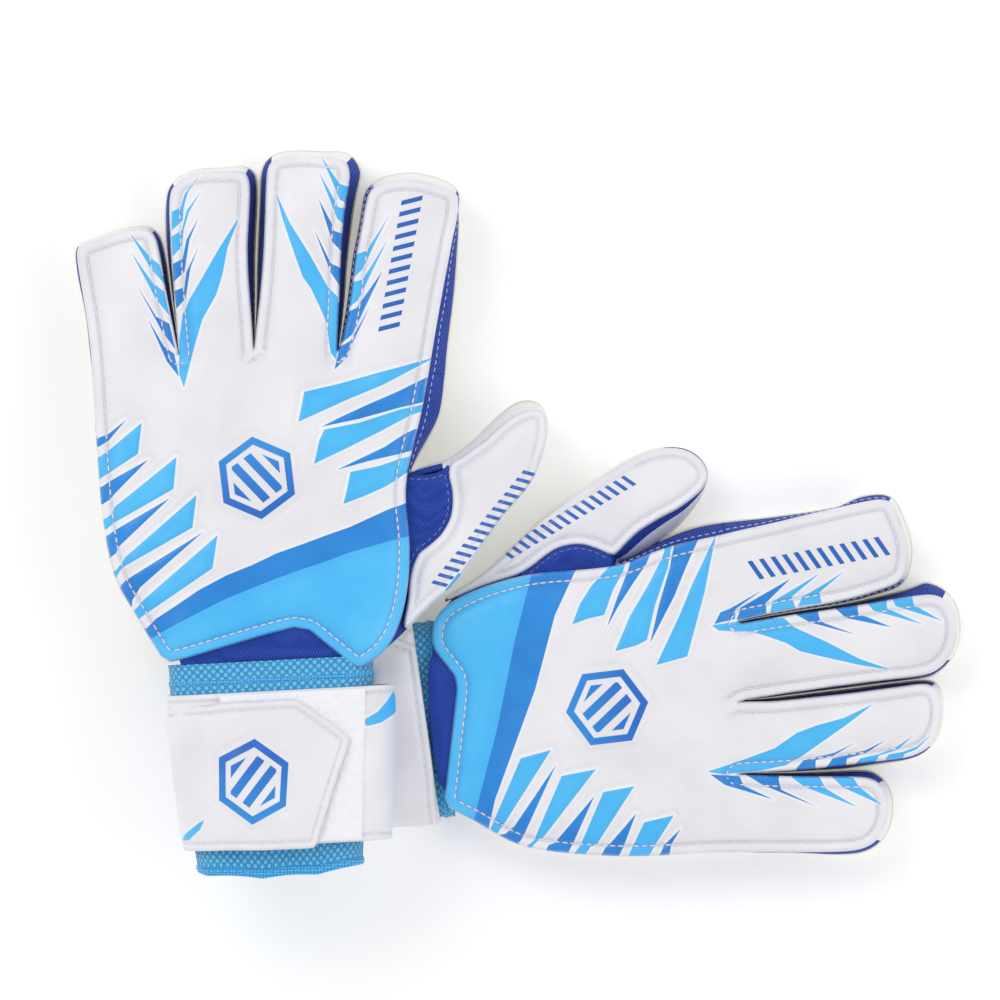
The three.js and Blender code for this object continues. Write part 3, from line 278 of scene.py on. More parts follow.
class Sheet:
    """A flat triangulation of an outline: dense rings along its edge, a hexagonal grid inside, split along the cut lines."""
    def __init__(self, outline, cuts=(), step=0.9, rings=(.25, .6, 1.1, 1.8, 2.6, 3.2, 3.7, 4.1, 4.5, 4.9, 5.5, 6.3), inner=0.85, prints=()):
        o = arr(outline)
        if area(o) < 0:
            o = o[::-1]
        self.outline = o = resample(o, step, closed=True)
        nb = len(o)
        A, B = o, np.roll(o, -1, axis=0)
        nrm = normals2(o, True)
        pts, edges, cutpts = [o], [(i, (i + 1) % nb) for i in range(nb)], []
        count = nb
        self.cuts = []
        for h0, h1 in cuts:
            i0 = int(np.argmin(np.linalg.norm(o - arr(h0), axis=1)))
            i1 = int(np.argmin(np.linalg.norm(o - arr(h1), axis=1)))
            line = resample(np.stack([o[i0], o[i1]]), inner)
            mid = line[1:-1]
            ids = [i0] + list(range(count, count + len(mid))) + [i1]
            edges += list(zip(ids[:-1], ids[1:]))
            pts.append(mid); cutpts.append(line); count += len(mid)
            self.cuts.append((o[i0], o[i1]))
        cand, ink_lines = [], []
        for poly in prints:      # printed edges become mesh edges
            q = resample(arr(poly), .8, closed=True)
            q = np.vstack([np.vstack([resample(np.array([a, b]), .8)[:-1] for a, b in zip(arr(poly), np.roll(arr(poly), -1, axis=0))])])
            ok = inside(q, o) & (seg_dist(q, A, B) > .12)
            ids = []
            base = count
            keep = np.where(ok)[0]
            num = {int(v): base + i for i, v in enumerate(keep)}
            pts.append(q[keep]); count += len(keep)
            for i in range(len(q)):
                j = (i + 1) % len(q)
                if i in num and j in num:
                    edges.append((num[i], num[j])); ink_lines.append((q[i], q[j]))
                elif i in num or j in num:      # joins a print to the edge of the piece
                    k = num.get(i, num.get(j)); p = q[i] if i in num else q[j]
                    e = int(np.argmin(np.linalg.norm(o - p, axis=1)))
                    if np.linalg.norm(o[e] - p) < 1.6:
                        edges.append((k, e)); ink_lines.append((p, o[e]))
        for d in rings:
            q = o + nrm * d
            ok = (seg_dist(q, A, B) > d * .97) & inside(q, o)
            cand.append(q[ok])
        lo, hi = o.min(0), o.max(0)
        gx = np.arange(lo[0], hi[0], inner); gy = np.arange(lo[1], hi[1], inner * .866)
        g = np.stack(np.meshgrid(gx, gy), 2)
        g[1::2, :, 0] += inner / 2
        g = g.reshape(-1, 2)
        g = g[inside(g, o)]
        last = rings[-1] if len(rings) else 0
        g = g[seg_dist(g, A, B) > last + inner * .45]
        cand.append(g)
        cand = np.vstack(cand)
        if cutpts:
            far = np.ones(len(cand), bool)
            for line in cutpts:
                far &= seg_dist(cand, line[:-1], line[1:]) > min(.35, inner * .4)
            cand = cand[far]
        if ink_lines:
            ia, ib = np.array([x[0] for x in ink_lines]), np.array([x[1] for x in ink_lines])
            cand = cand[seg_dist(cand, ia, ib) > .28]
        cell = np.round(cand / (min(step, inner) * .36)).astype(np.int64)   # thins crowded points
        key = cell[:, 0] * 1000003 + cell[:, 1]
        _, first = np.unique(key, return_index=True)
        cand = cand[np.sort(first)]
        allp = np.vstack(pts + [cand])
        vs, _, fs, ov, _, _ = delaunay_2d_cdt([Vector(p) for p in allp], edges, [], 1, 1e-5)
        self.P = np.array([(v.x, v.y) for v in vs])
        F = np.array([f[:] for f in fs if len(f) == 3], int)
        a, b, c = self.P[F[:, 0]], self.P[F[:, 1]], self.P[F[:, 2]]
        ar = (b[:, 0] - a[:, 0]) * (c[:, 1] - a[:, 1]) - (b[:, 1] - a[:, 1]) * (c[:, 0] - a[:, 0])
        F[ar < 0] = F[ar < 0][:, ::-1]
        self.F = F[np.abs(ar) > 1e-7]
        self.d = seg_dist(self.P, A, B)
        self.label()

    def dist(self, P):
        return seg_dist(P, self.outline, np.roll(self.outline, -1, axis=0))

    def label(self):
        """0 for the part before every cut, k+1 for the part beyond cut k"""
        self.part = np.zeros(len(self.F), int)
        if not self.cuts:
            return
        on = [seg_dist(self.P, c[0], c[1]) < 2e-3 for c in self.cuts]
        E = {}
        adj = [[] for _ in self.F]
        for k, f in enumerate(self.F.tolist()):
            for i in range(3):
                a, b = f[i], f[(i + 1) % 3]
                e = (a, b) if a < b else (b, a)
                if e in E:
                    if not any(o[a] and o[b] for o in on):
                        adj[k].append(E[e]); adj[E[e]].append(k)
                else:
                    E[e] = k
        comp = np.full(len(self.F), -1)
        n = 0
        for s in range(len(self.F)):
            if comp[s] >= 0:
                continue
            stack = [s]; comp[s] = n
            while stack:
                for j in adj[stack.pop()]:
                    if comp[j] < 0:
                        comp[j] = n; stack.append(j)
            n += 1
        sizes = np.bincount(comp)
        main = int(np.argmax(sizes))
        C = self.P[self.F].mean(1)
        for k in range(n):
            if k == main:
                continue
            c = C[comp == k].mean(0)
            j = int(np.argmin([np.linalg.norm(c - (a + b) / 2) for a, b in self.cuts]))
            self.part[comp == k] = j + 1

# ---------------------------------------------------------------- meshes
def lift(P, left):
    P = np.array(P, float)
    if left:
        P[:, 2] += SLOPE * np.maximum(0, LIFT_Y - P[:, 1])
    return P

def world(P, left):
    P = lift(P, left)
    P[:, 0] += SHIFT[0]; P[:, 1] += SHIFT[1]
    return P / 1000

def make(name, V, F, mat, left, attrs=None, normals=None, smooth=True):
    """V in glove millimetres, F a list of faces"""
    me = bpy.data.meshes.new(name)
    V = world(V, left)
    F = [list(map(int, f)) for f in F]
    me.from_pydata(V.tolist(), [], F)
    me.polygons.foreach_set("use_smooth", [smooth] * len(me.polygons))
    for k, v in (attrs or {}).items():
        v = np.asarray(v, np.float32)
        if v.ndim == 1:
            at = me.attributes.new(k, "FLOAT", "POINT"); at.data.foreach_set("value", v)
        else:
            at = me.attributes.new(k, "FLOAT_VECTOR", "POINT"); at.data.foreach_set("vector", v.ravel())
    me.update()
    if normals is not None:
        n = np.array(normals, float)
        if left:
            n[:, 1] += SLOPE * n[:, 2]
        n /= np.maximum(np.linalg.norm(n, axis=1, keepdims=True), 1e-9)
        me.normals_split_custom_set_from_vertices(n.tolist())
    ob = bpy.data.objects.new(name, me)
    bpy.context.scene.collection.objects.link(ob)
    me.materials.append(mat)
    return ob

def vnormals(V, F):
    F = np.asarray(F, int)
    n = np.cross(V[F[:, 1]] - V[F[:, 0]], V[F[:, 2]] - V[F[:, 0]])
    out = np.zeros_like(V)
    for k in range(3):
        np.add.at(out, F[:, k], n)
    return out / np.maximum(np.linalg.norm(out, axis=1, keepdims=True), 1e-12)

class Bag:
    """collects vertices, faces and attributes for one piece"""
    def __init__(self):
        self.V, self.F, self.N, self.A, self.n, self.ink = [], [], [], {}, 0, []
    def add(self, V, F, N=None, ink=None, **attrs):
        self.ink += [0.0] * len(F) if ink is None else list(ink)
        V = np.asarray(V, float)
        for k in set(self.A) | set(attrs):
            if k not in self.A:
                self.A[k] = [np.zeros(self.n)] if self.n else []
            v = attrs.get(k, 0.0)
            self.A[k].append(np.broadcast_to(np.asarray(v, float), (len(V),)).copy())
        self.V.append(V)
        self.N.append(np.zeros_like(V) if N is None else N)
        self.F += [[i + self.n for i in f] for f in F]
        self.n += len(V)
    def out(self):
        return np.vstack(self.V), self.F, np.vstack(self.N), {k: np.concatenate(v) for k, v in self.A.items()}

def sheet_bags(sh, ztop, zbot, n_parts, attrs, round_out=0.25, ink=None):
    """Closed foam solids, one per part, from a sheet: domed top, rounded edge, flat underside."""
    P, F = sh.P, sh.F
    T = np.c_[P, ztop]
    NT = vnormals(T, F)
    # outward direction along the real outline
    ec = {}
    for f in F.tolist():
        for i in range(3):
            a, b = f[i], f[(i + 1) % 3]
            ec[(a, b)] = 1
    bnd = [(a, b) for (a, b) in ec if (b, a) not in ec]
    out2 = np.zeros_like(P)
    for a, b in bnd:
        t = P[b] - P[a]
        o = np.array([t[1], -t[0]])
        out2[a] += o; out2[b] += o
    ln = np.linalg.norm(out2, axis=1, keepdims=True)
    out2 = out2 / np.maximum(ln, 1e-9)
    rim = ln[:, 0] > 0
    NT[rim] = NT[rim] * .55 + np.c_[out2[rim], np.zeros(rim.sum())] * .6
    bags = []
    zb = np.broadcast_to(np.asarray(zbot, float), (len(P),))
    for part in range(n_parts):
        f = F[sh.part == part]
        used = np.unique(f)
        idx = {int(v): i for i, v in enumerate(used)}
        bag = Bag()
        at = {k: v[used] for k, v in attrs.items()}
        fink = (np.zeros(len(F)) if ink is None else ink)[sh.part == part]
        bag.add(T[used], [[idx[i] for i in t] for t in f.tolist()], NT[used], ink=fink, **at)
        es = {}
        for t, c in zip(f.tolist(), fink):
            for i in range(3):
                es[(t[i], t[(i + 1) % 3])] = c
        eb = [(a, b) for (a, b) in es if (b, a) not in es]
        ring = sorted({a for e in eb for a in e})
        ri = {v: i for i, v in enumerate(ring)}
        R = np.array(ring)
        zt, zz = ztop[R], zb[R]
        mid = np.c_[P[R] + out2[R] * round_out, (zt * .45 + zz * .55)]
        low = np.c_[P[R] - out2[R] * .15, zz]
        nm = np.c_[out2[R], np.zeros(len(R))]
        nl = np.c_[out2[R] * .6, -np.ones(len(R))]
        m = len(ring)
        atr = {k: v[R] for k, v in attrs.items()}
        tv = T[R]
        Vw = np.vstack([tv, mid, low])
        Nw = np.vstack([NT[R], nm, nl])
        Fw, Iw = [], []
        for a, b in eb:
            i, j = ri[a], ri[b]
            Iw += [es[(a, b)]] * 2
            Fw.append([i, i + m, j + m, j]); Fw.append([i + m, i + 2 * m, j + 2 * m, j + m])
        # flat underside
        vs, _, fs, ov, _, _ = delaunay_2d_cdt([Vector(q) for q in low[:, :2]], [(ri[a], ri[b]) for a, b in eb], [], 1, 1e-6)
        mp = [o[0] if len(o) else -1 for o in ov]
        for q in fs:
            t = [mp[i] for i in q]
            if -1 in t or len(t) != 3 or len(set(t)) < 3:
                continue
            p0, p1, p2 = low[t[0], :2], low[t[1], :2], low[t[2], :2]
            ar = (p1[0] - p0[0]) * (p2[1] - p0[1]) - (p1[1] - p0[1]) * (p2[0] - p0[0])
            if abs(ar) < 1e-9:
                continue
            t = t[::-1] if ar > 0 else t
            Fw.append([i + 2 * m for i in t])
        bag.add(Vw, Fw, Nw, ink=Iw + [0.0] * (len(Fw) - len(Iw)), **{k: np.r_[v, v, np.full(len(v), NOP.get(k, 0.0))] for k, v in atr.items()})
        bags.append(bag)
    return bags

def finish_bag(name, bag, mat, left, bodies, weld=True, **extra):
    V, F, N, A = bag.out()
    ink = np.array(bag.ink)
    if weld:
        key = np.round(V, 4)
        _, first, inv = np.unique(key, axis=0, return_index=True, return_inverse=True)
        inv = inv.reshape(-1)
        F = [[int(inv[i]) for i in f] for f in F]
        ok = [len(set(f)) == len(f) for f in F]
        F, ink = [f for f, y in zip(F, ok) if y], ink[np.array(ok)]
        V, N, A = V[first], N[first], {k: v[first] for k, v in A.items()}
    ob = make(name, V, F, mat, left, A, N)
    if ink.any() and len(ob.data.polygons) == len(ink):
        at = ob.data.attributes.new("ink", "FLOAT", "FACE"); at.data.foreach_set("value", ink.astype(np.float32))
    return ob

def capsule(c, t, up, half, r, sides=6):
    """a stitch: a thread that rises out of the fabric and goes back in"""
    t = t / np.linalg.norm(t); up = up / np.linalg.norm(up); s = np.cross(t, up)
    rows = [(-1, .0, -.9), (-.86, .75, -.35), (-.35, 1, .15), (.35, 1, .15), (.86, .75, -.35), (1, .0, -.9)]
    V, F, N = [], [], []
    for x, rr, z in rows:
        o = c + t * half * x + up * r * z
        if rr == 0:
            V.append(o); N.append(t * x)
        else:
            for k in range(sides):
                a = 2 * math.pi * k / sides
                d = s * math.cos(a) + up * math.sin(a)
                V.append(o + d * r * rr); N.append(d)
    n = len(rows) - 2
    for k in range(sides):
        j = (k + 1) % sides
        F.append([0, 1 + k, 1 + j])
        for q in range(n - 1):
            a, b = 1 + q * sides, 1 + (q + 1) * sides
            F.append([a + k, b + k, b + j, a + j])
        b = 1 + (n - 1) * sides
        F.append([b + j, b + k, len(V) - 1])
    return np.array(V), F, np.array(N)

def stitch_line(path3, ups, pitch=3.0, half=1.05, r=0.3, skip=None):
    """dashes along a 3-D path; yields (centre, V, F, N)"""
    p = np.asarray(path3, float)
    s = np.r_[0, np.cumsum(np.linalg.norm(np.diff(p, axis=0), axis=1))]
    n = int(s[-1] // pitch)
    if n < 1:
        return
    for k in range(n):
        x = (k + .5) * s[-1] / n
        c = np.array([np.interp(x, s, p[:, i]) for i in range(3)])
        a = np.array([np.interp(min(x + half * .8, s[-1]), s, p[:, i]) for i in range(3)])
        b = np.array([np.interp(max(x - half * .8, 0), s, p[:, i]) for i in range(3)])
        u = np.array([np.interp(x, s, np.asarray(ups, float)[:, i]) for i in range(3)])
        if np.linalg.norm(a - b) < 1e-6:
            continue
        yield (c,) + capsule(c, a - b, u, half, r)

# ---------------------------------------------------------------- materials
class Nodes:
    def __init__(self, name, rough=.5):
        self.m = bpy.data.materials.new(name)
        self.m.use_nodes = True
        self.t = self.m.node_tree
        self.b = self.t.nodes["Principled BSDF"]
        self.b.inputs["Roughness"].default_value = rough
    def n(self, kind, **kw):
        x = self.t.nodes.new(kind)
        for k, v in kw.items():
            if k.startswith("_"):
                setattr(x, k[1:], v)
            else:
                x.inputs[k.replace("__", " ")].default_value = v
        return x
    def l(self, a, b):
        self.t.links.new(a, b)
    def attr(self, name, vec=False):
        a = self.n("ShaderNodeAttribute", _attribute_name=name)
        return a.outputs["Vector" if vec else "Fac"]
    def math(self, op, a, b=None, c=None, clamp=False):
        x = self.n("ShaderNodeMath", _operation=op, _use_clamp=clamp)
        for i, v in enumerate((a, b, c)):
            if v is None: continue
            if isinstance(v, (int, float)): x.inputs[i].default_value = v
            else: self.l(v, x.inputs[i])
        return x.outputs[0]
    def ramp(self, v, lo, hi, a=0.0, b=1.0, smooth=False):
        x = self.n("ShaderNodeMapRange")
        if smooth: x.interpolation_type = "SMOOTHSTEP"
        x.inputs["From Min"].default_value = lo; x.inputs["From Max"].default_value = hi
        x.inputs["To Min"].default_value = a; x.inputs["To Max"].default_value = b
        self.l(v, x.inputs["Value"])
        return x.outputs["Result"]
    def mix(self, f, a, b):
        x = self.n("ShaderNodeMix", _data_type="RGBA")
        if isinstance(f, (int, float)): x.inputs["Factor"].default_value = f
        else: self.l(f, x.inputs["Factor"])
        for v, s in ((a, x.inputs[6]), (b, x.inputs[7])):
            if isinstance(v, tuple): s.default_value = v if len(v) == 4 else v + (1,)
            else: self.l(v, s)
        return x.outputs[2]
    def pos(self, scale=(1, 1, 1), rot=(0, 0, 0)):
        g = self.n("ShaderNodeTexCoord"); mp = self.n("ShaderNodeMapping")
        self.l(g.outputs["Object"], mp.inputs["Vector"])
        mp.inputs["Scale"].default_value = scale; mp.inputs["Rotation"].default_value = rot
        return mp.outputs["Vector"]
    def noise(self, vec, scale, detail=3, rough=.5):
        x = self.n("ShaderNodeTexNoise", Scale=scale, Detail=detail, Roughness=rough)
        if vec is not None: self.l(vec, x.inputs["Vector"])
        return x.outputs["Fac"]
    def voronoi(self, vec, scale, feature="F1"):
        x = self.n("ShaderNodeTexVoronoi", _feature=feature, Scale=scale)
        if vec is not None: self.l(vec, x.inputs["Vector"])
        return x.outputs["Distance"]
    def bump(self, h, strength, dist, prev=None):
        x = self.n("ShaderNodeBump", Strength=strength, Distance=dist)
        self.l(h, x.inputs["Height"])
        if prev is not None: self.l(prev, x.inputs["Normal"])
        return x.outputs["Normal"]
    def done(self, color=None, rough=None, normal=None, sheen=0, coat=0, spec=None, sheen_rough=.5, coat_rough=.3):
        b = self.b
        for v, s in ((color, "Base Color"), (rough, "Roughness"), (normal, "Normal")):
            if v is None: continue
            if isinstance(v, tuple): b.inputs[s].default_value = v if len(v) == 4 else v + (1,)
            elif isinstance(v, (int, float)): b.inputs[s].default_value = v
            else: self.l(v, b.inputs[s])
        b.inputs["Sheen Weight"].default_value = sheen
        b.inputs["Sheen Roughness"].default_value = sheen_rough
        b.inputs["Coat Weight"].default_value = coat
        b.inputs["Coat Roughness"].default_value = coat_rough
        if spec is not None: b.inputs["Specular IOR Level"].default_value = spec
        return self.m

def srgb(r, g, b):
    return tuple(((c / 255) / 12.92 if c / 255 <= .04045 else ((c / 255 + .055) / 1.055) ** 2.4) for c in (r, g, b))

WHITE = srgb(232, 230, 237)
LIGHT = srgb(58, 172, 240)
MID = srgb(42, 122, 205)
ROYAL = srgb(45, 66, 158)

def pu_material(name, row=None, faces=True):
    """satin coated synthetic leather with printed shapes; lt and md are distances to the printed shapes"""
    k = Nodes(name, .42)
    v = k.pos()
    big = k.noise(v, 38, 2)
    fine = k.noise(v, 900, 3, .6)
    grain = k.voronoi(v, 1500, "SMOOTH_F1")
    thr = k.attr("thr"); ed = k.attr("ed")
    white = k.mix(k.ramp(big, .3, .7), srgb(231, 230, 236), srgb(242, 241, 246))
    col = white
    lt, md = k.attr("lt"), k.attr("md")
    if True:
        halo = k.math("MULTIPLY", k.ramp(k.math("MINIMUM", lt, md), .75, .95, 1, 0), .6)
        col = k.mix(halo, col, srgb(246, 246, 252))
        light = k.mix(k.ramp(big, .25, .75), srgb(66, 187, 252), srgb(86, 201, 255))
        light = k.mix(k.ramp(lt, -6, -.3, 0, .25), light, srgb(44, 160, 236))
        mid = k.mix(k.ramp(big, .25, .75), srgb(20, 122, 212), srgb(30, 146, 230))
        if faces:
            ink_ = k.attr("ink")
            is_l, is_m = k.ramp(ink_, .45, .55), k.ramp(ink_, 1.45, 1.55)
        else:
            is_l, is_m = k.ramp(lt, -.09, .09, 1, 0), k.ramp(md, -.09, .09, 1, 0)
        col = k.mix(is_l, col, light)
        col = k.mix(is_m, col, mid)
    # badge: a six-sided ring with slanted bars
    mx, my = k.attr("mx"), k.attr("my")
    ax_ = k.math("ABSOLUTE", mx)
    hexd = k.math("MAXIMUM", ax_, k.math("ADD", k.math("MULTIPLY", ax_, .5), k.math("MULTIPLY", k.math("ABSOLUTE", my), .866)))
    ring = k.ramp(k.math("ABSOLUTE", k.math("SUBTRACT", hexd, 11.2)), 1.15, 1.3, 1, 0)
    st = k.math("FRACT", k.math("DIVIDE", k.math("ADD", k.math("MULTIPLY", mx, .8), k.math("MULTIPLY", my, .6)), 5.6))
    bars = k.math("MULTIPLY", k.ramp(k.math("ABSOLUTE", k.math("SUBTRACT", st, .5)), .26, .285, 1, 0), k.ramp(hexd, 8.1, 8.25, 1, 0))
    badge = k.math("MAXIMUM", ring, bars)
    bl = k.mix(k.ramp(my, -10, 10), srgb(24, 104, 202), srgb(40, 142, 224))
    col = k.mix(badge, col, bl)
    ink = badge
    if row:
        rx, ry = k.attr("rx"), k.attr("ry")
        L, hgt, pitch = row
        x = k.math("ADD", rx, k.math("MULTIPLY", ry, .45))
        f = k.math("ABSOLUTE", k.math("SUBTRACT", k.math("FRACT", k.math("DIVIDE", x, pitch)), .5))
        bar = k.ramp(f, .2, .23, 1, 0)
        on = k.math("MULTIPLY", k.ramp(k.math("ABSOLUTE", ry), hgt - .04, hgt + .04, 1, 0), k.ramp(k.math("ABSOLUTE", k.math("SUBTRACT", x, L / 2)), L / 2 - .03, L / 2 + .03, 1, 0))
        r = k.math("MULTIPLY", bar, on)
        col = k.mix(r, col, srgb(24, 98, 190))
        ink = k.math("MAXIMUM", ink, r)
    # painted shade: the groove along each stitch line is tinted grey where it dips
    gr = k.math("MULTIPLY", k.attr("gr"), k.ramp(k.noise(v, 420, 2), .3, .7, .16, .34))
    col = k.mix(gr, col, srgb(172, 178, 196))
    # greyer within about 1 mm of the outline, where the lip rolls down, in noisy patches
    rim_greying = k.math("MULTIPLY", k.ramp(ed, 0, 1.1, .5, 0), k.ramp(k.noise(v, 160, 3), .35, .75))
    col = k.mix(rim_greying, col, srgb(196, 194, 206))
    col = k.mix(k.math("MULTIPLY", thr, .92), col, srgb(240, 240, 246))
    rough = k.ramp(k.noise(v, 260, 3), .2, .8, .36, .5)
    rough = k.math("ADD", rough, k.math("MULTIPLY", thr, .3))
    if True:
        rough = k.math("SUBTRACT", rough, k.math("MULTIPLY", k.ramp(k.math("MINIMUM", lt, md), -.1, .1, 1, 0), .06))
    n = k.bump(grain, .16, .00012)
    n = k.bump(fine, .2, .00012, n)
    crease = k.noise(k.pos(scale=(1, 1, 1)), 120, 4, .62)
    n = k.bump(crease, .14, .0009, n)
    if True:
        edge = k.ramp(k.math("ABSOLUTE", k.math("MINIMUM", lt, md)), 0, .35, 0, 1)
        n = k.bump(edge, .25, .00018, n)
    tw = k.n("ShaderNodeTexWave", Scale=420, Distortion=1.5); k.l(v, tw.inputs["Vector"])
    n = k.bump(k.math("MULTIPLY", tw.outputs["Fac"], thr), .5, .0002, n)
    return k.done(col, rough, n, sheen=.03, coat=.12, spec=.45, coat_rough=.35)

def latex_material(name):
    k = Nodes(name, .8)
    v = k.pos()
    a = k.noise(v, 55, 4); pore = k.voronoi(v, 1900); f = k.noise(v, 1300, 3, .7)
    col = k.mix(k.ramp(a, .3, .7), srgb(226, 225, 212), srgb(240, 239, 228))
    col = k.mix(k.ramp(pore, .05, .35, .22, 0), col, srgb(196, 194, 178))
    scuff = k.math("MULTIPLY", k.ramp(k.noise(v, 22, 5, .7), .56, .72), .35)
    col = k.mix(scuff, col, srgb(206, 204, 190))
    n = k.bump(pore, .45, .00018); n = k.bump(f, .35, .00016, n); n = k.bump(a, .2, .0008, n)
    return k.done(col, k.ramp(f, .2, .8, .72, .9), n, sheen=.12, spec=.35, sheen_rough=.7)

def mesh_fabric(name, dark, light):
    """ribbed stretch mesh: ribs along one way, small holes between them"""
    k = Nodes(name, .78)
    v = k.pos()
    w1 = k.n("ShaderNodeTexWave", Scale=330, Distortion=1.2); w1.inputs["Detail Scale"].default_value = 2
    k.l(k.pos(rot=(0, 0, .5)), w1.inputs["Vector"])
    w2 = k.n("ShaderNodeTexWave", Scale=420, Distortion=1.0)
    k.l(k.pos(rot=(0, 0, 2.07)), w2.inputs["Vector"])
    wz = k.n("ShaderNodeTexWave", Scale=420, Distortion=.8, _bands_direction="Z"); k.l(v, wz.inputs["Vector"])
    weave = k.math("MULTIPLY", w1.outputs["Fac"], k.math("MAXIMUM", w2.outputs["Fac"], wz.outputs["Fac"]))
    big = k.noise(v, 70, 3)
    col = k.mix(k.ramp(weave, .05, .6), dark, light)
    col = k.mix(k.ramp(big, .35, .75, 0, .5), col, dark)
    thr, tp = k.attr("thr"), k.attr("tp")
    col = k.mix(thr, col, srgb(208, 214, 240))
    tpf = k.ramp(tp, .45, .55)
    latex = k.mix(k.ramp(k.noise(v, 1300, 3, .7), .3, .7), srgb(237, 237, 237), srgb(248, 248, 247))
    col = k.mix(tpf, col, latex)
    n = k.bump(weave, .3, .0002); n = k.bump(k.noise(v, 1500, 2), .25, .0001, n)
    n = k.bump(big, .3, .0016, n)
    return k.done(col, k.ramp(weave, 0, 1, .9, .75), n, sheen=.06, spec=.12, sheen_rough=.4)

def knit_material(name):
    """elastic knit: staggered raised dots on a blue ground, 2 mm apart, lighter partly from their paler yarn and
    partly from a painted highlight on their tops
    """
    k = Nodes(name, .8)
    uv = k.attr("uvmm", True)
    sx = k.n("ShaderNodeSeparateXYZ"); k.l(uv, sx.inputs[0])
    u, w = sx.outputs[0], sx.outputs[1]
    P = 2.9
    a = k.math("DIVIDE", k.math("ADD", u, w), P * 1.0); b = k.math("DIVIDE", k.math("SUBTRACT", u, w), P * 1.0)
    fa = k.math("SUBTRACT", k.math("FRACT", a), .5); fb = k.math("SUBTRACT", k.math("FRACT", b), .5)
    r = k.math("SQRT", k.math("ADD", k.math("MULTIPLY", fa, fa), k.math("MULTIPLY", fb, fb)))
    dot = k.ramp(r, .27, .5, 1, 0, True)
    rib = k.math("SINE", k.math("MULTIPLY", u, 6.283 / .65))
    v = k.pos()
    yarn = k.noise(v, 1400, 3, .6)
    col = k.mix(k.ramp(yarn, .3, .7), srgb(32, 150, 222), srgb(56, 182, 242))
    col = k.mix(k.ramp(rib, -1, 1, .35, 0), col, srgb(20, 108, 184))
    # the dots' light colour: paler yarn plus a painted highlight on the raised tops
    col = k.mix(k.math("MULTIPLY", dot, .85), col, srgb(132, 212, 248))
    h = k.math("ADD", k.math("MULTIPLY", dot, 1.0), k.math("MULTIPLY", rib, .14))
    n = k.bump(h, .8, .0006); n = k.bump(yarn, .35, .00014, n)
    return k.done(col, k.ramp(yarn, 0, 1, .7, .9), n, sheen=.3, spec=.3)

def tape_material(name, a, b, scale=260):
    k = Nodes(name, .7)
    v = k.pos()
    w = k.n("ShaderNodeTexWave", Scale=scale, Distortion=.4); k.l(v, w.inputs["Vector"])
    w2 = k.n("ShaderNodeTexWave", Scale=scale * 1.1, Distortion=.4, _bands_direction="Y"); k.l(v, w2.inputs["Vector"])
    h = k.math("MULTIPLY", w.outputs["Fac"], w2.outputs["Fac"])
    f = k.noise(v, 900, 3)
    col = k.mix(k.ramp(h, .1, .7), a, b)
    thr = k.attr("thr")
    col = k.mix(thr, col, srgb(206, 232, 250))
    n = k.bump(h, .5, .0002); n = k.bump(f, .3, .0001, n)
    return k.done(col, k.ramp(f, .2, .8, .62, .8), n, sheen=.25, spec=.3)

def fleece_material(name):
    """brushed loop pile"""
    k = Nodes(name, .95)
    v = k.pos()
    f = k.noise(v, 1100, 5, .75); c = k.noise(v, 240, 4, .65); p = k.voronoi(v, 700)
    col = k.mix(k.ramp(f, .3, .7), srgb(240, 240, 250), srgb(255, 255, 255))
    col = k.mix(k.ramp(c, .4, .75, 0, .35), col, srgb(238, 240, 252))
    n = k.bump(f, .4, .0003); n = k.bump(p, .2, .0003, n); n = k.bump(c, .2, .0006, n)
    return k.done(col, .95, n, sheen=.6, spec=.15, sheen_rough=.6)

def hook_material(name):
    k = Nodes(name, .5)
    v = k.pos()
    h = k.voronoi(v, 900); f = k.noise(v, 600, 2)
    col = k.mix(k.ramp(h, .1, .5), srgb(236, 236, 240), srgb(200, 200, 208))
    n = k.bump(h, .9, .0006)
    return k.done(col, k.ramp(f, .2, .8, .4, .6), n, spec=.4)

def lining_material(name):
    k = Nodes(name, .9)
    v = k.pos()
    f = k.noise(v, 800, 4, .7); c = k.noise(v, 60, 3)
    w = k.n("ShaderNodeTexWave", Scale=190, Distortion=1); k.l(v, w.inputs["Vector"])
    col = k.mix(k.ramp(f, .3, .7), srgb(38, 52, 120), srgb(62, 80, 160))
    col = k.mix(k.ramp(c, .35, .7, 0, .4), col, srgb(30, 42, 100))
    n = k.bump(w.outputs["Fac"], .4, .0003); n = k.bump(f, .5, .0003, n)
    return k.done(col, k.ramp(f, 0, 1, .85, .97), n, sheen=.4, spec=.15)

M_PU = pu_material("printed_synthetic_leather", (50.4, 3.6, 4.2))
M_THUMB = pu_material("thumb_synthetic_leather", (54.6, 2.5, 3.4))
M_PLAIN = pu_material("strap_synthetic_leather", None, False)
M_LATEX = latex_material("foam_latex")
M_ROYAL = mesh_fabric("royal_stretch_mesh", srgb(34, 56, 142), srgb(56, 90, 186))
M_KNIT = knit_material("knitted_elastic")
M_TAPE = tape_material("binding_tape", srgb(40, 150, 218), srgb(92, 198, 244))
M_FLEECE = fleece_material("loop_fleece")
M_HOOK = hook_material("hook_tape")
M_LINING = lining_material("brushed_lining")

# ---------------------------------------------------------------- shared builders
NOP = dict(lt=99.0, md=99.0, ed=9.0, mx=99.0, my=99.0, rx=999.0, ry=99.0)
THREAD = dict(NOP, thr=1.0)

def tube(loops, cap=True, closed=False):
    """skin over a row of equal loops (n, m, 3)"""
    n, m = loops.shape[:2]
    V = loops.reshape(-1, 3)
    F = []
    for i in range(n if closed else n - 1):
        a, b = i * m, ((i + 1) % n) * m
        for j in range(m):
            k = (j + 1) % m
            F.append([a + j, a + k, b + k, b + j])
    if cap and not closed:
        F.append(list(range(m))[::-1]); F.append([(n - 1) * m + j for j in range(m)])
    return V, F

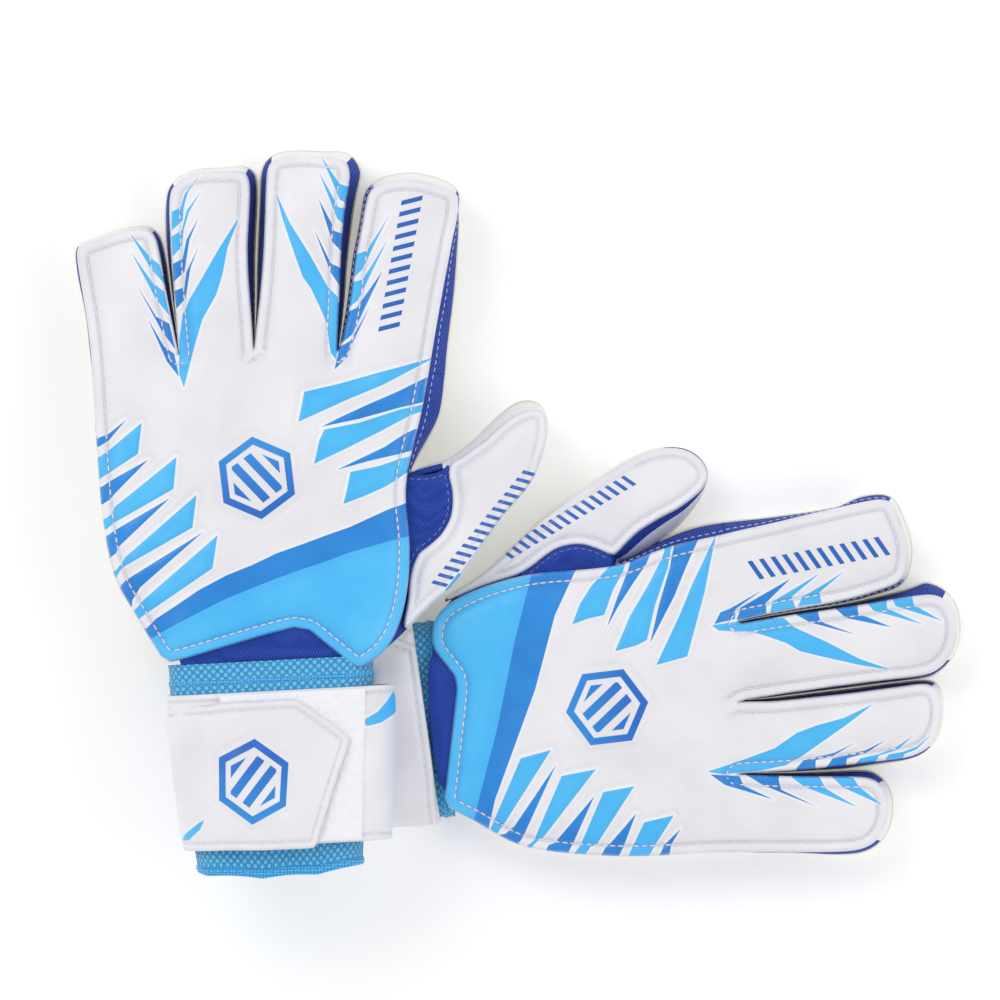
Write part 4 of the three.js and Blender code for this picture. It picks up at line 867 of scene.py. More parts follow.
def outward(V, F):
    """turns the faces of a closed skin outward"""
    vol = 0.0
    for f in F:
        a = V[f[0]]
        for i in range(1, len(f) - 1):
            vol += np.dot(a, np.cross(V[f[i]], V[f[i + 1]]))
    return F if vol > 0 else [f[::-1] for f in F]

def fnormals(V, F):
    t = []
    for f in F:
        for i in range(1, len(f) - 1):
            t.append((f[0], f[i], f[i + 1]))
    return vnormals(V, np.array(t))

def declare(ob, nodes, ride=None, blend=None, left=False):
    if nodes:
        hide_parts(*nodes)
    if blend:
        a, b, s, e = blend
        s, e = world(np.array([s]), left)[0], world(np.array([e]), left)[0]
        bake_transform(ob)
    else:
        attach(ob, ride)
    return ob

def hinge_blend(hand, body, h0, h1, toward, z, reach):
    h0, h1, toward = arr(h0)[0], arr(h1)[0], arr(toward)[0]
    t = (h1 - h0) / np.linalg.norm(h1 - h0)
    n = np.array([-t[1], t[0]])
    m = (h0 + h1) / 2
    if np.dot(toward - m, n) < 0:
        n = -n
    return (hand, body, (m[0], m[1], z), (m[0] + n[0] * reach, m[1] + n[1] * reach, z))

def arc_between(o, a, b, longer=False):
    """the points of a closed outline between two places on it"""
    i, j = int(np.argmin(np.linalg.norm(o - arr(a), axis=1))), int(np.argmin(np.linalg.norm(o - arr(b), axis=1)))
    n = len(o)
    f = o[[(i + k) % n for k in range((j - i) % n + 1)]]
    g = o[[(i - k) % n for k in range((i - j) % n + 1)]]
    lf, lg = [np.sum(np.linalg.norm(np.diff(q, axis=0), axis=1)) for q in (f, g)]
    return (f if (lf > lg) == longer else g)

def wall(top, bot, z1, z0, bulge=.5, thick=.8, rows=8, inset=.3, out_sign=1, seed=0):
    """a fabric side wall between an upper and a lower edge; the edges run the same way"""
    n = max(len(top), len(bot))
    top, bot = resample(top, n=n), resample(bot, n=n)
    nt, nb = normals2(top, False) * out_sign, normals2(bot, False) * out_sign
    s = np.linspace(0, 1, rows)
    outer = []
    for k, t in enumerate(s):
        p = top * (1 - t) + bot * t
        nn = nt * (1 - t) + nb * t
        nn /= np.maximum(np.linalg.norm(nn, axis=1, keepdims=True), 1e-9)
        wv = .14 * np.sin(np.linspace(0, n * .23, n) + seed)[:, None] * math.sin(math.pi * t)
        p = p + nn * (bulge * math.sin(math.pi * t) - inset + wv)
        outer.append(np.c_[p, np.full(n, z1 * (1 - t) + z0 * t)])
    inner = []
    for k, t in enumerate(s[::-1]):
        p = top * (1 - t) + bot * t
        nn = nt * (1 - t) + nb * t
        nn /= np.maximum(np.linalg.norm(nn, axis=1, keepdims=True), 1e-9)
        p = p + nn * (bulge * math.sin(math.pi * t) - inset - thick)
        inner.append(np.c_[p, np.full(n, z1 * (1 - t) + z0 * t)])
    loops = np.stack(outer + inner, 1)
    V, F = tube(loops)
    F = outward(V, F)
    return V, F, loops

def path_on(sh, z, off):
    """an inset copy of a sheet's edge, in plan, for stitches; z, the height, is not used"""
    o = sh.outline
    q = o + normals2(o, True) * off
    A, B = o, np.roll(o, -1, axis=0)
    ok = (seg_dist(q, A, B) > off * .96) & inside(q, o)
    runs, run = [], []
    start = int(np.argmin(ok)) if not ok.all() else 0
    for k in range(len(o)):
        i = (start + k) % len(o)
        if ok[i]:
            if run and np.linalg.norm(q[i] - run[-1]) > 3.0 * .9 + 1.5:
                runs.append(run); run = []
            run.append(q[i])
        elif run:
            runs.append(run); run = []
    if run:
        runs.append(run)
    out = []
    for r in runs:
        r = np.array(r)
        if len(r) < 4:
            continue
        if ok.all():
            r = np.vstack([r, r[:1]])
        out.append(r)
    return out

class Height:
    """height of a sheet's top at any plan point"""
    def __init__(self, P, z):
        from mathutils import kdtree
        self.P, self.z = P, z
        self.t = kdtree.KDTree(len(P))
        for i, p in enumerate(P):
            self.t.insert((p[0], p[1], 0), i)
        self.t.balance()
    def __call__(self, q):
        out = []
        for p in arr(q):
            r = self.t.find_n((p[0], p[1], 0), 4)
            w = np.array([1 / (x[2] + .05) for x in r])
            out.append(float(np.dot(w, [self.z[x[1]] for x in r]) / w.sum()))
        return np.array(out)

def crown(P, d, base, lip=1.1, groove=(3.5, .65), rise=2.6, hand=3.0, seed=1, far=(12, 30)):
    z = base - lip * (1 - np.clip(d / .8, 0, 1)) ** 2
    z -= groove[1] * np.exp(-((d - groove[0]) / .5) ** 2)
    z += np.where(d > groove[0], rise * (1 - np.exp(-(d - groove[0]) / 3.0)), 0)
    if hand:
        z += hand * smooth01((d - far[0]) / far[1])
    z += .12 * ripple(P, seed, 13) * smooth01((d - 4) / 5) + .22 * ripple(P, seed + 1, 36) * smooth01((d - 4) / 8)
    return z

# ---------------------------------------------------------------- the hand of a glove
def offset_open(p, m):
    """moves a polyline to its left by m (per point)"""
    p = arr(p)
    return p + normals2(p, False) * np.asarray(m)[:, None]

def build_hand(hand, T, PRINT, cfg):
    left = hand == "left"
    H = hand + "_hand"
    sgn = 1.0 if cfg["cw"] else -1.0           # the outline's left side is outside when it runs clockwise
    fing = {}
    for d in DIGITS:
        fing[d] = chaikin(T[d], 2)
    sec = [np.vstack([chaikin(np.vstack([T["hand_l"], T["pinky"][1:]]), 2)]), fing["ring"], fing["middle"],
           chaikin(np.vstack([T["index"], T["hand_r"][1:]]), 2), chaikin(T["wrist"], 1)]
    outline = np.vstack(sec)
    cuts = [T["hinge"][d] for d in DIGITS]
    back = Sheet(outline, cuts, prints=[p for c, g, p in PRINT])
    Ls = [p for c, g, p in PRINT if c == "L"]; Ms = [p for c, g, p in PRINT if c == "M"]
    raised = [p for c, g, p in PRINT if g in ("hl", "hr")]
    P, d = back.P, back.d
    z = crown(P, d, 22.0, groove=(3.5, .65), rise=2.6, seed=cfg["seed"])
    rs = union_sdf(P, raised)
    z -= .5 * np.exp(-((rs - 1.5) / .55) ** 2) * smooth01((d - 2) / 3)
    z += .3 * smooth01(-rs / 1.2 + .2)
    mc, ma, mr = cfg["mark"]
    ca, sa = math.cos(ma), math.sin(ma)
    def local(P, c):
        q = P - arr(c)
        return q @ np.array([[ca, -sa], [sa, ca]])
    ml = local(P, mc)
    hexd = np.maximum(np.abs(ml[:, 0]), np.abs(ml[:, 0]) * .5 + np.abs(ml[:, 1]) * .866) - mr
    z -= .55 * np.exp(-((hexd - 2.2) / .6) ** 2)
    z += .35 * smooth01(-hexd / 1.5 + .8)
    r0, r1 = arr(cfg["row"][0])[0], arr(cfg["row"][1])[0]
    rt = (r1 - r0) / np.linalg.norm(r1 - r0); rn = np.array([-rt[1], rt[0]])
    # the stitch-groove mask below sets where the leather gets painted groove shade
    attrs = dict(gr=np.exp(-((d - 3.5) / .6) ** 2), lt=union_sdf(P, Ls), md=union_sdf(P, Ms), ed=d, thr=np.zeros(len(P)), mx=ml[:, 0] * 12.5 / mr, my=ml[:, 1] * 12.5 / mr,
                 rx=(P - r0) @ rt, ry=(P - r0) @ rn)
    for k in ("lt", "md"):
        attrs[k] = np.clip(attrs[k], -9, 9)
    C = back.P[back.F].mean(1)
    ink = np.where(union_sdf(C, Ls) < 0, 1.0, 0.0)
    ink = np.where(union_sdf(C, Ms) < 0, 2.0, ink)
    bags = sheet_bags(back, z, 19.6, 5, attrs, ink=ink)
    hz = Height(P, z)
    cent = [None] + [np.mean(arr(T[dd]), axis=0) for dd in DIGITS]
    hinge_lines = [T["hinge"][dd] for dd in DIGITS]
    def region(p):
        for k, (h0, h1) in enumerate(hinge_lines):
            h0, h1 = arr(h0)[0], arr(h1)[0]
            t = (h1 - h0) / np.linalg.norm(h1 - h0); n = np.array([-t[1], t[0]])
            if np.dot(cent[k + 1] - h0, n) < 0: n = -n
            a = np.dot(p - h0, t)
            if np.dot(p - h0, n) > 0 and -3 < a < np.linalg.norm(h1 - h0) + 3:
                return k + 1
        return 0
    for run in path_on(back, z, 3.5):
        zz = hz(run) + .12
        for c, V, F, N in stitch_line(np.c_[run, zz], np.tile([0, 0, 1.0], (len(run), 1)), 2.9, 1.05, .3):
            bags[region(c[:2])].add(V, F, N, **THREAD)
    for k in range(3):
        c0 = arr(T["hinge"][DIGITS[k]][1])[0]
        f = (cent[k + 1] + cent[k + 2]) / 2 - c0; f /= np.linalg.norm(f); g = np.array([-f[1], f[0]])
        an = np.linspace(-1.35, 1.35, 15)
        run = c0 - 3.5 * (np.cos(an)[:, None] * f + np.sin(an)[:, None] * g)
        zz = hz(run) + .12
        for c, V, F, N in stitch_line(np.c_[run, zz], np.tile([0, 0, 1.0], (len(run), 1)), 2.3, .85, .28):
            bags[0].add(V, F, N, **THREAD)
    bl = {}
    for k, dd in enumerate(DIGITS):
        h0, h1 = T["hinge"][dd]
        bl[dd] = hinge_blend(H, f"{hand}_{NODE[dd]}_finger", h0, h1, cent[k + 1], 12, 14)
    names = ["backhand_panel"] + [NODE[dd] + "_back" for dd in DIGITS]
    for k, bag in enumerate(bags):
        ob = finish_bag(f"{hand}_{names[k]}_foam", bag, M_PU, left, None)
        declare(ob, [f"{hand}_{names[k]}"], ride=H if k == 0 else None, blend=None if k == 0 else bl[DIGITS[k - 1]], left=left)

    # palm
    def fmargin(p, m0, mt, m1, near, stop=None):
        """an outline moved outward by a changing margin, never past halfway to its neighbours"""
        p = arr(p)
        s = np.r_[0, np.cumsum(np.linalg.norm(np.diff(p, axis=0), axis=1))]; L = s[-1]
        t = s / L
        m = np.where(t < .5, m0 + (mt - m0) * smooth01((t - .3) / .2), m1 + (mt - m1) * smooth01((.7 - t) / .2))
        for q in near:
            m = np.minimum(m, .45 * np.maximum(seg_dist(p, q[:-1], q[1:]) - .8, 0))
        if stop is not None:
            k = int(np.argmin(np.linalg.norm(p - stop, axis=1)))
            m = m * smooth01((s[k] - s) / 12)
        return offset_open(p, m * sgn)
    mg = cfg["margins"]
    idx = chaikin(T["index"], 2)
    pk = fmargin(sec[0], *mg["pinky"], [sec[1]])
    rg = fmargin(sec[1], *mg["ring"], [sec[0], sec[2]])
    md_ = fmargin(sec[2], *mg["middle"], [sec[1], idx])
    sr = chaikin(T["side_r"], 2)
    ix = fmargin(idx, *mg["index"], [sec[2]], stop=sr[0])
    j = int(np.argmin(np.linalg.norm(ix - sr[0], axis=1)))
    th0, th1 = [arr(v)[0] for v in T["thumb_hinge"]]
    wr = arr(T["wrist"])
    palm_outline = np.vstack([pk, rg, md_, ix[:j], sr, [th0], resample(np.array([th0, th1]), 2.0)[1:], wr])
    palm = Sheet(palm_outline, cuts, step=.9, rings=(.3, .8, 1.6, 2.8), inner=1.9)
    dP = palm.d
    zp = 5.0 - .7 * (1 - np.clip(dP / 1.0, 0, 1)) ** 2
    # built upside down so that the worked face is the gripping face
    zface = 4.9 - .9 * (1 - np.clip(dP / 1.4, 0, 1)) ** 2 + .0 * dP
    zface = zface - .5 * np.exp(-((dP - 4.0) / .9) ** 2)
    zface += .1 * ripple(palm.P, cfg["seed"] + 5, 20)
    zface = np.minimum(zface, 4.95)
    pb = sheet_bags(palm, zface, -.1, 5, dict(ed=dP), round_out=.3)
    pn = ["palm_panel"] + [NODE[dd] + "_palm" for dd in DIGITS]
    for k, bag in enumerate(pb):
        for a in range(len(bag.V)):
            bag.V[a] = bag.V[a] * np.array([1, 1, -1.0]) + np.array([0, 0, 4.9])
            bag.N[a] = bag.N[a] * np.array([1, 1, -1.0])
        bag.F = [f[::-1] for f in bag.F]
        ob = finish_bag(f"{hand}_{pn[k]}_latex", bag, M_LATEX, left, None)
        declare(ob, [f"{hand}_{pn[k]}"], ride=H if k == 0 else None, blend=None if k == 0 else bl[DIGITS[k - 1]], left=left)

    # side walls of the fingers
    for dd in DIGITS:
        h0, h1 = T["hinge"][dd]
        t, b = arc_between(back.outline, h0, h1), arc_between(palm.outline, h0, h1)
        s_ = 1 if area(np.vstack([t, t[:1]])) < 0 else -1
        V, F, lp = wall(t, b, 19.9, 4.7, bulge=.55, inset=.25, out_sign=s_, seed=len(dd))
        ax_ = np.mean(arr(T[dd]), axis=0) - (arr(h0)[0] + arr(h1)[0]) / 2; ax_ /= np.linalg.norm(ax_)
        tg = np.gradient(lp[:, 3, :2], axis=0); tg /= np.linalg.norm(tg, axis=1, keepdims=True)
        tipz = np.abs(tg @ ax_) < .72
        ii = np.where(tipz & (np.arange(len(lp)) > len(lp) * .25) & (np.arange(len(lp)) < len(lp) * .75))[0]
        tpv = np.zeros(len(lp))
        if len(ii): tpv[ii[0]:ii[-1] + 1] = 1
        bag = Bag(); bag.add(V, F, fnormals(V, F), **dict(NOP, thr=0, tp=np.repeat(tpv, lp.shape[1])))
        if dd == "index":
            row = lp[:, 2] + np.r_[normals2(lp[:, 2, :2], False) * s_ * .1, ].reshape(-1, 2) @ np.eye(2, 3)
            ups = np.c_[normals2(lp[:, 2, :2], False) * s_, np.zeros(len(lp))]
            for c, V2, F2, N2 in stitch_line(row, ups, 2.6, .9, .24):
                if tpv[int(np.argmin(np.linalg.norm(lp[:, 2] - c, axis=1)))] < .5:
                    bag.add(V2, F2, N2, **THREAD)
        ob = finish_bag(f"{hand}_{NODE[dd]}_gusset_mesh", bag, M_ROYAL, left, None)
        L = np.sum(np.linalg.norm(np.diff(t, axis=0), axis=1)) / 1000
        declare(ob, [f"{hand}_{NODE[dd]}_gusset"], blend=bl[dd], left=left)
    # side walls of the hand
    iH0, pH0 = arr(T["hinge"]["index"][1])[0], arr(T["hinge"]["pinky"][0])[0]
    for nm, a, b_, wa in (("thumb_side", iH0, arr(T["hand_r"])[-1], th1), ("little_side", pH0, arr(T["hand_l"])[0], arr(T["hand_l"])[0])):
        t, b = arc_between(back.outline, a, b_), arc_between(palm.outline, a, wa)
        s_ = -1 if nm == "thumb_side" else 1
        s_ = s_ * (-sgn)
        V, F, lp = wall(t, b, 19.9, 4.7, out_sign=s_, seed=3)
        bag = Bag(); bag.add(V, F, fnormals(V, F), **dict(NOP, thr=0))
        if nm == "thumb_side":
            ups = np.c_[normals2(lp[:, 2, :2], False) * s_, np.zeros(len(lp))]
            half = lp[:, 2][: int(len(lp) * .55)]
            for c, V2, F2, N2 in stitch_line(half, ups[: len(half)], 2.6, .9, .24):
                bag.add(V2, F2, N2, **THREAD)
        ob = finish_bag(f"{hand}_{nm}_wall_mesh", bag, M_ROYAL if nm == "thumb_side" else M_ROYAL, left, None)
        L = np.sum(np.linalg.norm(np.diff(t, axis=0), axis=1)) / 1000
        declare(ob, [f"{hand}_{nm}_gusset"], ride=H, left=left)

    # thumb
    tb = f"{hand}_thumb"
    tc = np.mean(arr(T["thumb"]), axis=0)
    tbl = hinge_blend(H, tb, T["thumb_hinge"][0], T["thumb_hinge"][1], tc, 8, 9)
    thb = Sheet(chaikin(T["thumb_back"], 1, closed=True), rings=(.25, .6, 1.1, 1.7, 2.3, 2.8, 3.3, 3.9, 4.8), prints=cfg["tshard"])
    zt = crown(thb.P, thb.d, 17.5, groove=(2.9, .6), rise=2.0, hand=0, seed=cfg["seed"] + 9)
    q0, q1 = arr(cfg["trow"][0])[0], arr(cfg["trow"][1])[0]
    qt = (q1 - q0) / np.linalg.norm(q1 - q0); qn = np.array([-qt[1], qt[0]])
    tl = union_sdf(thb.P, cfg["tshard"]) if cfg["tshard"] else np.full(len(thb.P), 9.0)
    # the stitch-groove mask below sets where the leather gets painted groove shade
    at = dict(gr=np.exp(-((thb.d - 2.9) / .6) ** 2) * .8, lt=np.clip(tl, -9, 9), md=np.full(len(thb.P), 9.0), ed=thb.d, thr=np.zeros(len(thb.P)), mx=np.full(len(thb.P), 99.0),
              my=np.full(len(thb.P), 99.0), rx=(thb.P - q0) @ qt, ry=(thb.P - q0) @ qn)
    rowz = (at["rx"] > -3) & (at["rx"] < 58) & (np.abs(at["ry"]) < 5)
    zt = zt + np.where(rowz, .6 * np.exp(-((thb.d - 2.9) / .5) ** 2), 0)
    tc_ = thb.P[thb.F].mean(1)
    tink = np.where(union_sdf(tc_, cfg["tshard"]) < 0, 1.0, 0.0) if cfg["tshard"] else np.zeros(len(thb.F))
    bag = sheet_bags(thb, zt, 15.2, 1, at, ink=tink)[0]
    th = Height(thb.P, zt)
    for run in path_on(thb, zt, 2.9):
        for c, V, F, N in stitch_line(np.c_[run, th(run) + .12], np.tile([0, 0, 1.0], (len(run), 1)), 2.9, 1.05, .28):
            if -3 < np.dot(c[:2] - q0, qt) < 58 and abs(np.dot(c[:2] - q0, qn)) < 5:
                continue
            bag.add(V, F, N, **THREAD)
    ob = finish_bag(f"{hand}_thumb_back_foam", bag, M_THUMB, left, None)
    declare(ob, [f"{hand}_thumb_back"], blend=tbl, left=left)
    tp = chaikin(T["thumb"], 2)
    tps = Sheet(np.vstack([tp]), step=1.2, rings=(.3, .8, 1.6, 2.8), inner=1.9)
    zf = np.minimum(4.9 - .9 * (1 - np.clip(tps.d / 1.4, 0, 1)) ** 2 - .4 * np.exp(-((tps.d - 4) / .9) ** 2), 4.9)
    bag = sheet_bags(tps, zf, -.1, 1, dict(ed=tps.d), round_out=.3)[0]
    for a in range(len(bag.V)):
        bag.V[a] = bag.V[a] * np.array([1, 1, -1.0]) + np.array([0, 0, 4.9])
        bag.N[a] = bag.N[a] * np.array([1, 1, -1.0])
    bag.F = [f[::-1] for f in bag.F]
    ob = finish_bag(f"{hand}_thumb_palm_latex", bag, M_LATEX, left, None)
    declare(ob, [f"{hand}_thumb_palm"], blend=tbl, left=left)
    arc = arc_between(thb.outline, T["thumb_back"][0], T["thumb"][-1], longer=True)
    top = np.vstack([[arr(T["thumb"])[0]], arc])
    s_ = 1 if area(np.vstack([tp, tp[:1]])) < 0 else -1
    V, F, lp = wall(top, tp, 15.6, 4.7, bulge=.9, inset=.35, out_sign=s_, seed=5)
    tpv = np.ones(lp.shape[:2])
    crotch = np.arange(len(lp)) < len(lp) * (.42 if not left else .08)
    tpv[crotch, :3] = 0; tpv[crotch, -3:] = 0
    bag = Bag(); bag.add(V, F, fnormals(V, F), thr=0.0, tp=tpv.ravel())
    ob = finish_bag(f"{hand}_thumb_wall_latex", bag, M_ROYAL, left, None)
    declare(ob, [f"{hand}_thumb_gusset"], blend=tbl, left=left)
    pa = Sheet(chaikin(T["patch"], 1, closed=True), rings=(.3, .8, 1.5, 2.2, 3), inner=1.1)
    zpa = 16.9 - .5 * (1 - np.clip(pa.d / .8, 0, 1)) ** 2 - .6 * smooth01((pa.d - 1) / 8) + .2 * ripple(pa.P, 4, 12)
    bag = sheet_bags(pa, zpa, 15.5, 1, dict(ed=pa.d, thr=np.zeros(len(pa.P))), round_out=.1)[0]
    ph = Height(pa.P, zpa)
    for run in path_on(pa, zpa, 1.5):
        for c, V, F, N in stitch_line(np.c_[run, ph(run) + .08], np.tile([0, 0, 1.0], (len(run), 1)), 2.6, .85, .2):
            bag.add(V, F, N, ed=9.0, thr=.3)
    ob = finish_bag(f"{hand}_thumb_crotch_patch", bag, M_ROYAL, left, None)
    declare(ob, [], blend=tbl, left=left)

    # wrist insert
    ins = Sheet(chaikin(T["insert"], 1, closed=True), rings=(.4, 1, 2), inner=1.3)
    zi = 20.2 - .5 * smooth01(ins.d / 6) + .15 * ripple(ins.P, 8, 15)
    bag = sheet_bags(ins, zi, 18.9, 1, dict(ed=ins.d, thr=np.zeros(len(ins.P))), round_out=.05)[0]
    ob = finish_bag(f"{hand}_wrist_insert_mesh", bag, M_ROYAL, left, None)
    declare(ob, [f"{hand}_wrist_insert"], ride=H, left=left)
    for nm in ("palm_lining", "backhand_lining"):
        o = frame["nodes"][f"{hand}_{nm}"]
        o.data.materials.clear(); o.data.materials.append(M_LINING)

# ---------------------------------------------------------------- the cuff of a glove
def oval(hw, hh, zc, s, off, dome=1.2):
    """a point on a flattened tube's skin: s runs along it from the middle of the top, off is outward"""
    s, off = np.broadcast_arrays(np.asarray(s, float), np.asarray(off, float))
    a = hw - hh
    sg = np.where(s < 0, -1.0, 1.0); t = np.abs(s)
    q = math.pi * hh
    u = np.where(t <= a, t, 0.0); nx = np.zeros_like(t); nz = np.ones_like(t)
    arc = (t > a) & (t <= a + q)
    th = np.clip((t - a) / hh, 0, math.pi)
    nx = np.where(arc, np.sin(th), nx); nz = np.where(arc, np.cos(th), nz)
    low = t > a + q
    nz = np.where(low, -1.0, nz)
    bu = np.where(arc, a, u); bu = np.where(low, a - (t - a - q), bu)
    x = bu + nx * (hh + off); z = zc + nz * (hh + off)
    z = z + dome * np.maximum(nz, 0) * (1 - np.clip(np.abs(x) / hw, 0, 1) ** 2)
    return sg * x, z

def cuff_xyz(C, u, w, z, c=0.0):
    u, w, z = np.broadcast_arrays(u, w, z)
    c0 = np.array(C["c0"], float)
    xy = c0 + C["ax"] * w[..., None] + C["side"] * (u + c)[..., None]
    return np.concatenate([xy, z[..., None]], -1)

def build_cuff(hand, C):
    left = hand == "left"
    H = hand + "_hand"
    d = np.array(C["c1"], float) - np.array(C["c0"], float)
    L = np.linalg.norm(d)
    C["ax"] = ax = d / L
    C["side"] = np.array([-ax[1], ax[0]]) if left else np.array([ax[1], -ax[0]])
    hw0, hw1, hh, zc = C["hw0"], C["hw1"], C["hh"], C["zc"]
    # knitted bandage
    half = 2 * (hw0 - hh) + math.pi * hh
    cols = 176
    S = np.linspace(-half, half, cols)
    W0 = C["w0"]
    wl = np.r_[W0, W0 + .5, np.linspace(W0 + 1.5, L - 3.6, 56), L - 3.0]
    def ramped(z, w):
        f = C["dip"] + (1 - C["dip"]) * smooth01((w - W0) / 13)
        return np.where(z > zc, zc + (z - zc) * f, z)
    def hem(w, u, hw):
        t = w / L
        return w + (C["bow"] * (1 - np.clip(np.abs(u) / hw, 0, 1) ** 2) - .9 * np.abs(np.sin(u * .16 + 1)) + .3) * max(t, 0) ** 4
    prof = [(w, 0.0) for w in wl] + [(w, -1.6) for w in wl[::-1][::3]]
    loops = np.zeros((cols, len(prof), 3)); uvs = np.zeros((cols, len(prof), 3))
    for j, (w, off) in enumerate(prof):
        t = w / L
        hw = hw0 + (hw1 - hw0) * t
        k = (2 * (hw - hh) + math.pi * hh) / half
        s = S * k
        gather = .28 * np.sin(S * 1.35 + 1.2 * np.sin(w * .12)) * math.exp(-((w - 8) / 7.0) ** 2) + .35 * math.exp(-((w - 4.5) / 2.8) ** 2)
        gather = gather + .3 * np.sin(S * .31 + w * .07)
        u, z = oval(hw, hh, zc, s, off + gather)
        z = ramped(z, w)
        ww = hem(w, u, hw)
        loops[:, j] = cuff_xyz(C, u, ww, z)
        uvs[:, j] = np.stack([S, np.full(cols, w), np.zeros(cols)], 1)
    V, F = tube(loops)
    F = outward(V, F)
    ob = make(f"{hand}_cuff_bandage_knit", V, F, M_KNIT, left, dict(uvmm=uvs.reshape(-1, 3)))
    declare(ob, [f"{hand}_cuff_bandage"], ride=H, left=left)
    def band_ring(name, w0, w1, o0, o1, mat, nodes, n=12):
        """a folded tape round the knit"""
        prof = []
        for q in range(n):
            a = 2 * math.pi * q / n
            prof.append(((w0 + w1) / 2 + (w1 - w0) / 2 * math.copysign(abs(math.cos(a)) ** .6, math.cos(a)), (o0 + o1) / 2 + (o1 - o0) / 2 * math.copysign(abs(math.sin(a)) ** .6, math.sin(a))))
        lp = np.zeros((cols, n, 3))
        for j, (w, off) in enumerate(prof):
            t = w / L; hw = hw0 + (hw1 - hw0) * t
            k = (2 * (hw - hh) + math.pi * hh) / half
            gather = .28 * np.sin(S * 1.35 + 1.2 * np.sin(w * .12)) * math.exp(-((w - 8) / 7.0) ** 2) + .35 * math.exp(-((w - 4.5) / 2.8) ** 2) + .3 * np.sin(S * .31 + w * .07)
            u, z = oval(hw, hh, zc, S * k, off + gather)
            z = ramped(z, w)
            ww = hem(w, u, hw)
            lp[:, j] = cuff_xyz(C, u, ww, z)
        V, F = tube(lp[:-1], closed=True)
        F = outward(V, F)
        bag = Bag(); bag.add(V, F, fnormals(V, F), thr=0.0)
        mid = lp[:, n // 4]; c = lp.mean(1)
        for cc, V2, F2, N2 in stitch_line(mid, mid - c, 2.6, .9, .2):
            bag.add(V2, F2, N2, thr=.35)
        ob = finish_bag(name, bag, mat, left, None)
        declare(ob, nodes, ride=H, left=left)
    band_ring(f"{hand}_cuff_hem_tape", L - 3.4, L - .4, -1.9, .5, M_TAPE, [f"{hand}_cuff_hem_binding"])
    band_ring(f"{hand}_cuff_top_tape", 1.6 if left else -1.6, 3.2 if left else 0.0, -.3, .4, M_TAPE, [])
    # strap band
    w0, w1 = C["strapW"]; sc, shw, shh = C["strapC"], C["strapHW"], C["strapHH"]
    halfS = 2 * (shw - shh) + math.pi * shh
    cols2 = 190
    S2 = np.linspace(-halfS, halfS, cols2 + 1)[:-1]
    inner = []
    e = np.r_[.15, .5, 1.0, 1.6, 2.0, 2.35, 2.65, 3.0, 3.5, 4.4]
    W = np.r_[w0 + e, np.linspace(w0 + 6, w1 - 6, 26), (w1 - e)[::-1]]
    def shw_at(w):
        return shw + (C["strapHW1"] - shw) * np.clip((w - w0) / (w1 - w0), 0, 1)
    def strap_xyz(S, w, off):
        """S is measured along the skin at the wide end; the strap narrows towards the wrist"""
        S, w, off = np.broadcast_arrays(np.asarray(S, float), np.asarray(w, float), np.asarray(off, float))
        h = shw_at(w)
        k = (2 * (h - shh) + math.pi * shh) / halfS
        a0 = shw - shh
        # the flat top keeps its length; only the sides and the underside take the narrowing
        aa = h - shh
        t = np.abs(S)
        s2 = np.where(t <= a0, t * aa / a0, aa + (t - a0) * (halfS * k - aa) / (halfS - a0))
        s2 = s2 * np.where(S < 0, -1, 1)
        sg = np.where(s2 < 0, -1.0, 1.0); tt = np.abs(s2); q = math.pi * shh
        arc = (tt > aa) & (tt <= aa + q); low = tt > aa + q
        th = np.clip((tt - aa) / shh, 0, math.pi)
        nx = np.where(arc, np.sin(th), 0.0); nz = np.where(low, -1.0, np.where(arc, np.cos(th), 1.0))
        bu = np.where(low, aa - (tt - aa - q), np.where(arc, aa, tt))
        x = bu + nx * (shh + off); z = zc + nz * (shh + off)
        z = z + 1.2 * np.maximum(nz, 0) * (1 - np.clip(np.abs(x) / h, 0, 1) ** 2)
        u = sg * x
        return cuff_xyz(C, u, w + C["skew"] * u, z, sc)
    def strap_off(w, S):
        ed = np.minimum(w - w0, w1 - w)
        o = -.8 * (1 - min(ed / 1.0, 1)) ** 2 - .55 * math.exp(-((ed - 2.65) / .45) ** 2) + (.35 * (1 - math.exp(-(ed - 2.65) / 2)) if ed > 2.65 else 0)
        P = np.stack([S, np.full(len(S), w)], 1)
        return o + (.22 * ripple(P, 21, 30) + .12 * ripple(P, 22, 12)) * min(ed / 6, 1) - .2
    prof = [(w, "o") for w in W] + [(w1 - .2, -1.5), (w0 + .2, -1.5)]
    lp = np.zeros((cols2, len(prof), 3)); EO = np.zeros((cols2, len(prof)))
    for j, (w, off) in enumerate(prof):
        o = strap_off(w, S2) if off == "o" else np.full(cols2, off)
        lp[:, j] = strap_xyz(S2, w, o)
        EO[:, j] = min(w - w0, w1 - w)
    V, F = tube(lp, closed=True)
    F = outward(V, F)
    lt = np.clip(union_sdf(V[:, :2], C["sshard"]), -9, 9) if C["sshard"] else np.full(len(V), 9.0)
    lt = np.where(V[:, 2] > zc, lt, 9.0)
    # the stitch-groove mask below sets where the leather gets painted groove shade
    bag = Bag(); bag.add(V, F, fnormals(V, F), **dict(NOP, lt=lt, ed=EO.ravel(), thr=0.0, gr=np.exp(-((EO.ravel() - 2.65) / .55) ** 2)))
    for w in (w0 + 2.65, w1 - 2.65):
        S3 = np.linspace(-halfS, halfS, 260)
        p = strap_xyz(S3, w, strap_off(w, S3) + .1); q = strap_xyz(S3, w, strap_off(w, S3) + 1.1)
        for c, V2, F2, N2 in stitch_line(p, q - p, 2.9, 1.05, .28):
            bag.add(V2, F2, N2, **THREAD)
    ob = finish_bag(f"{hand}_strap_band_padded", bag, M_PLAIN, left, None)
    declare(ob, [f"{hand}_strap_band"], ride=H, left=left)
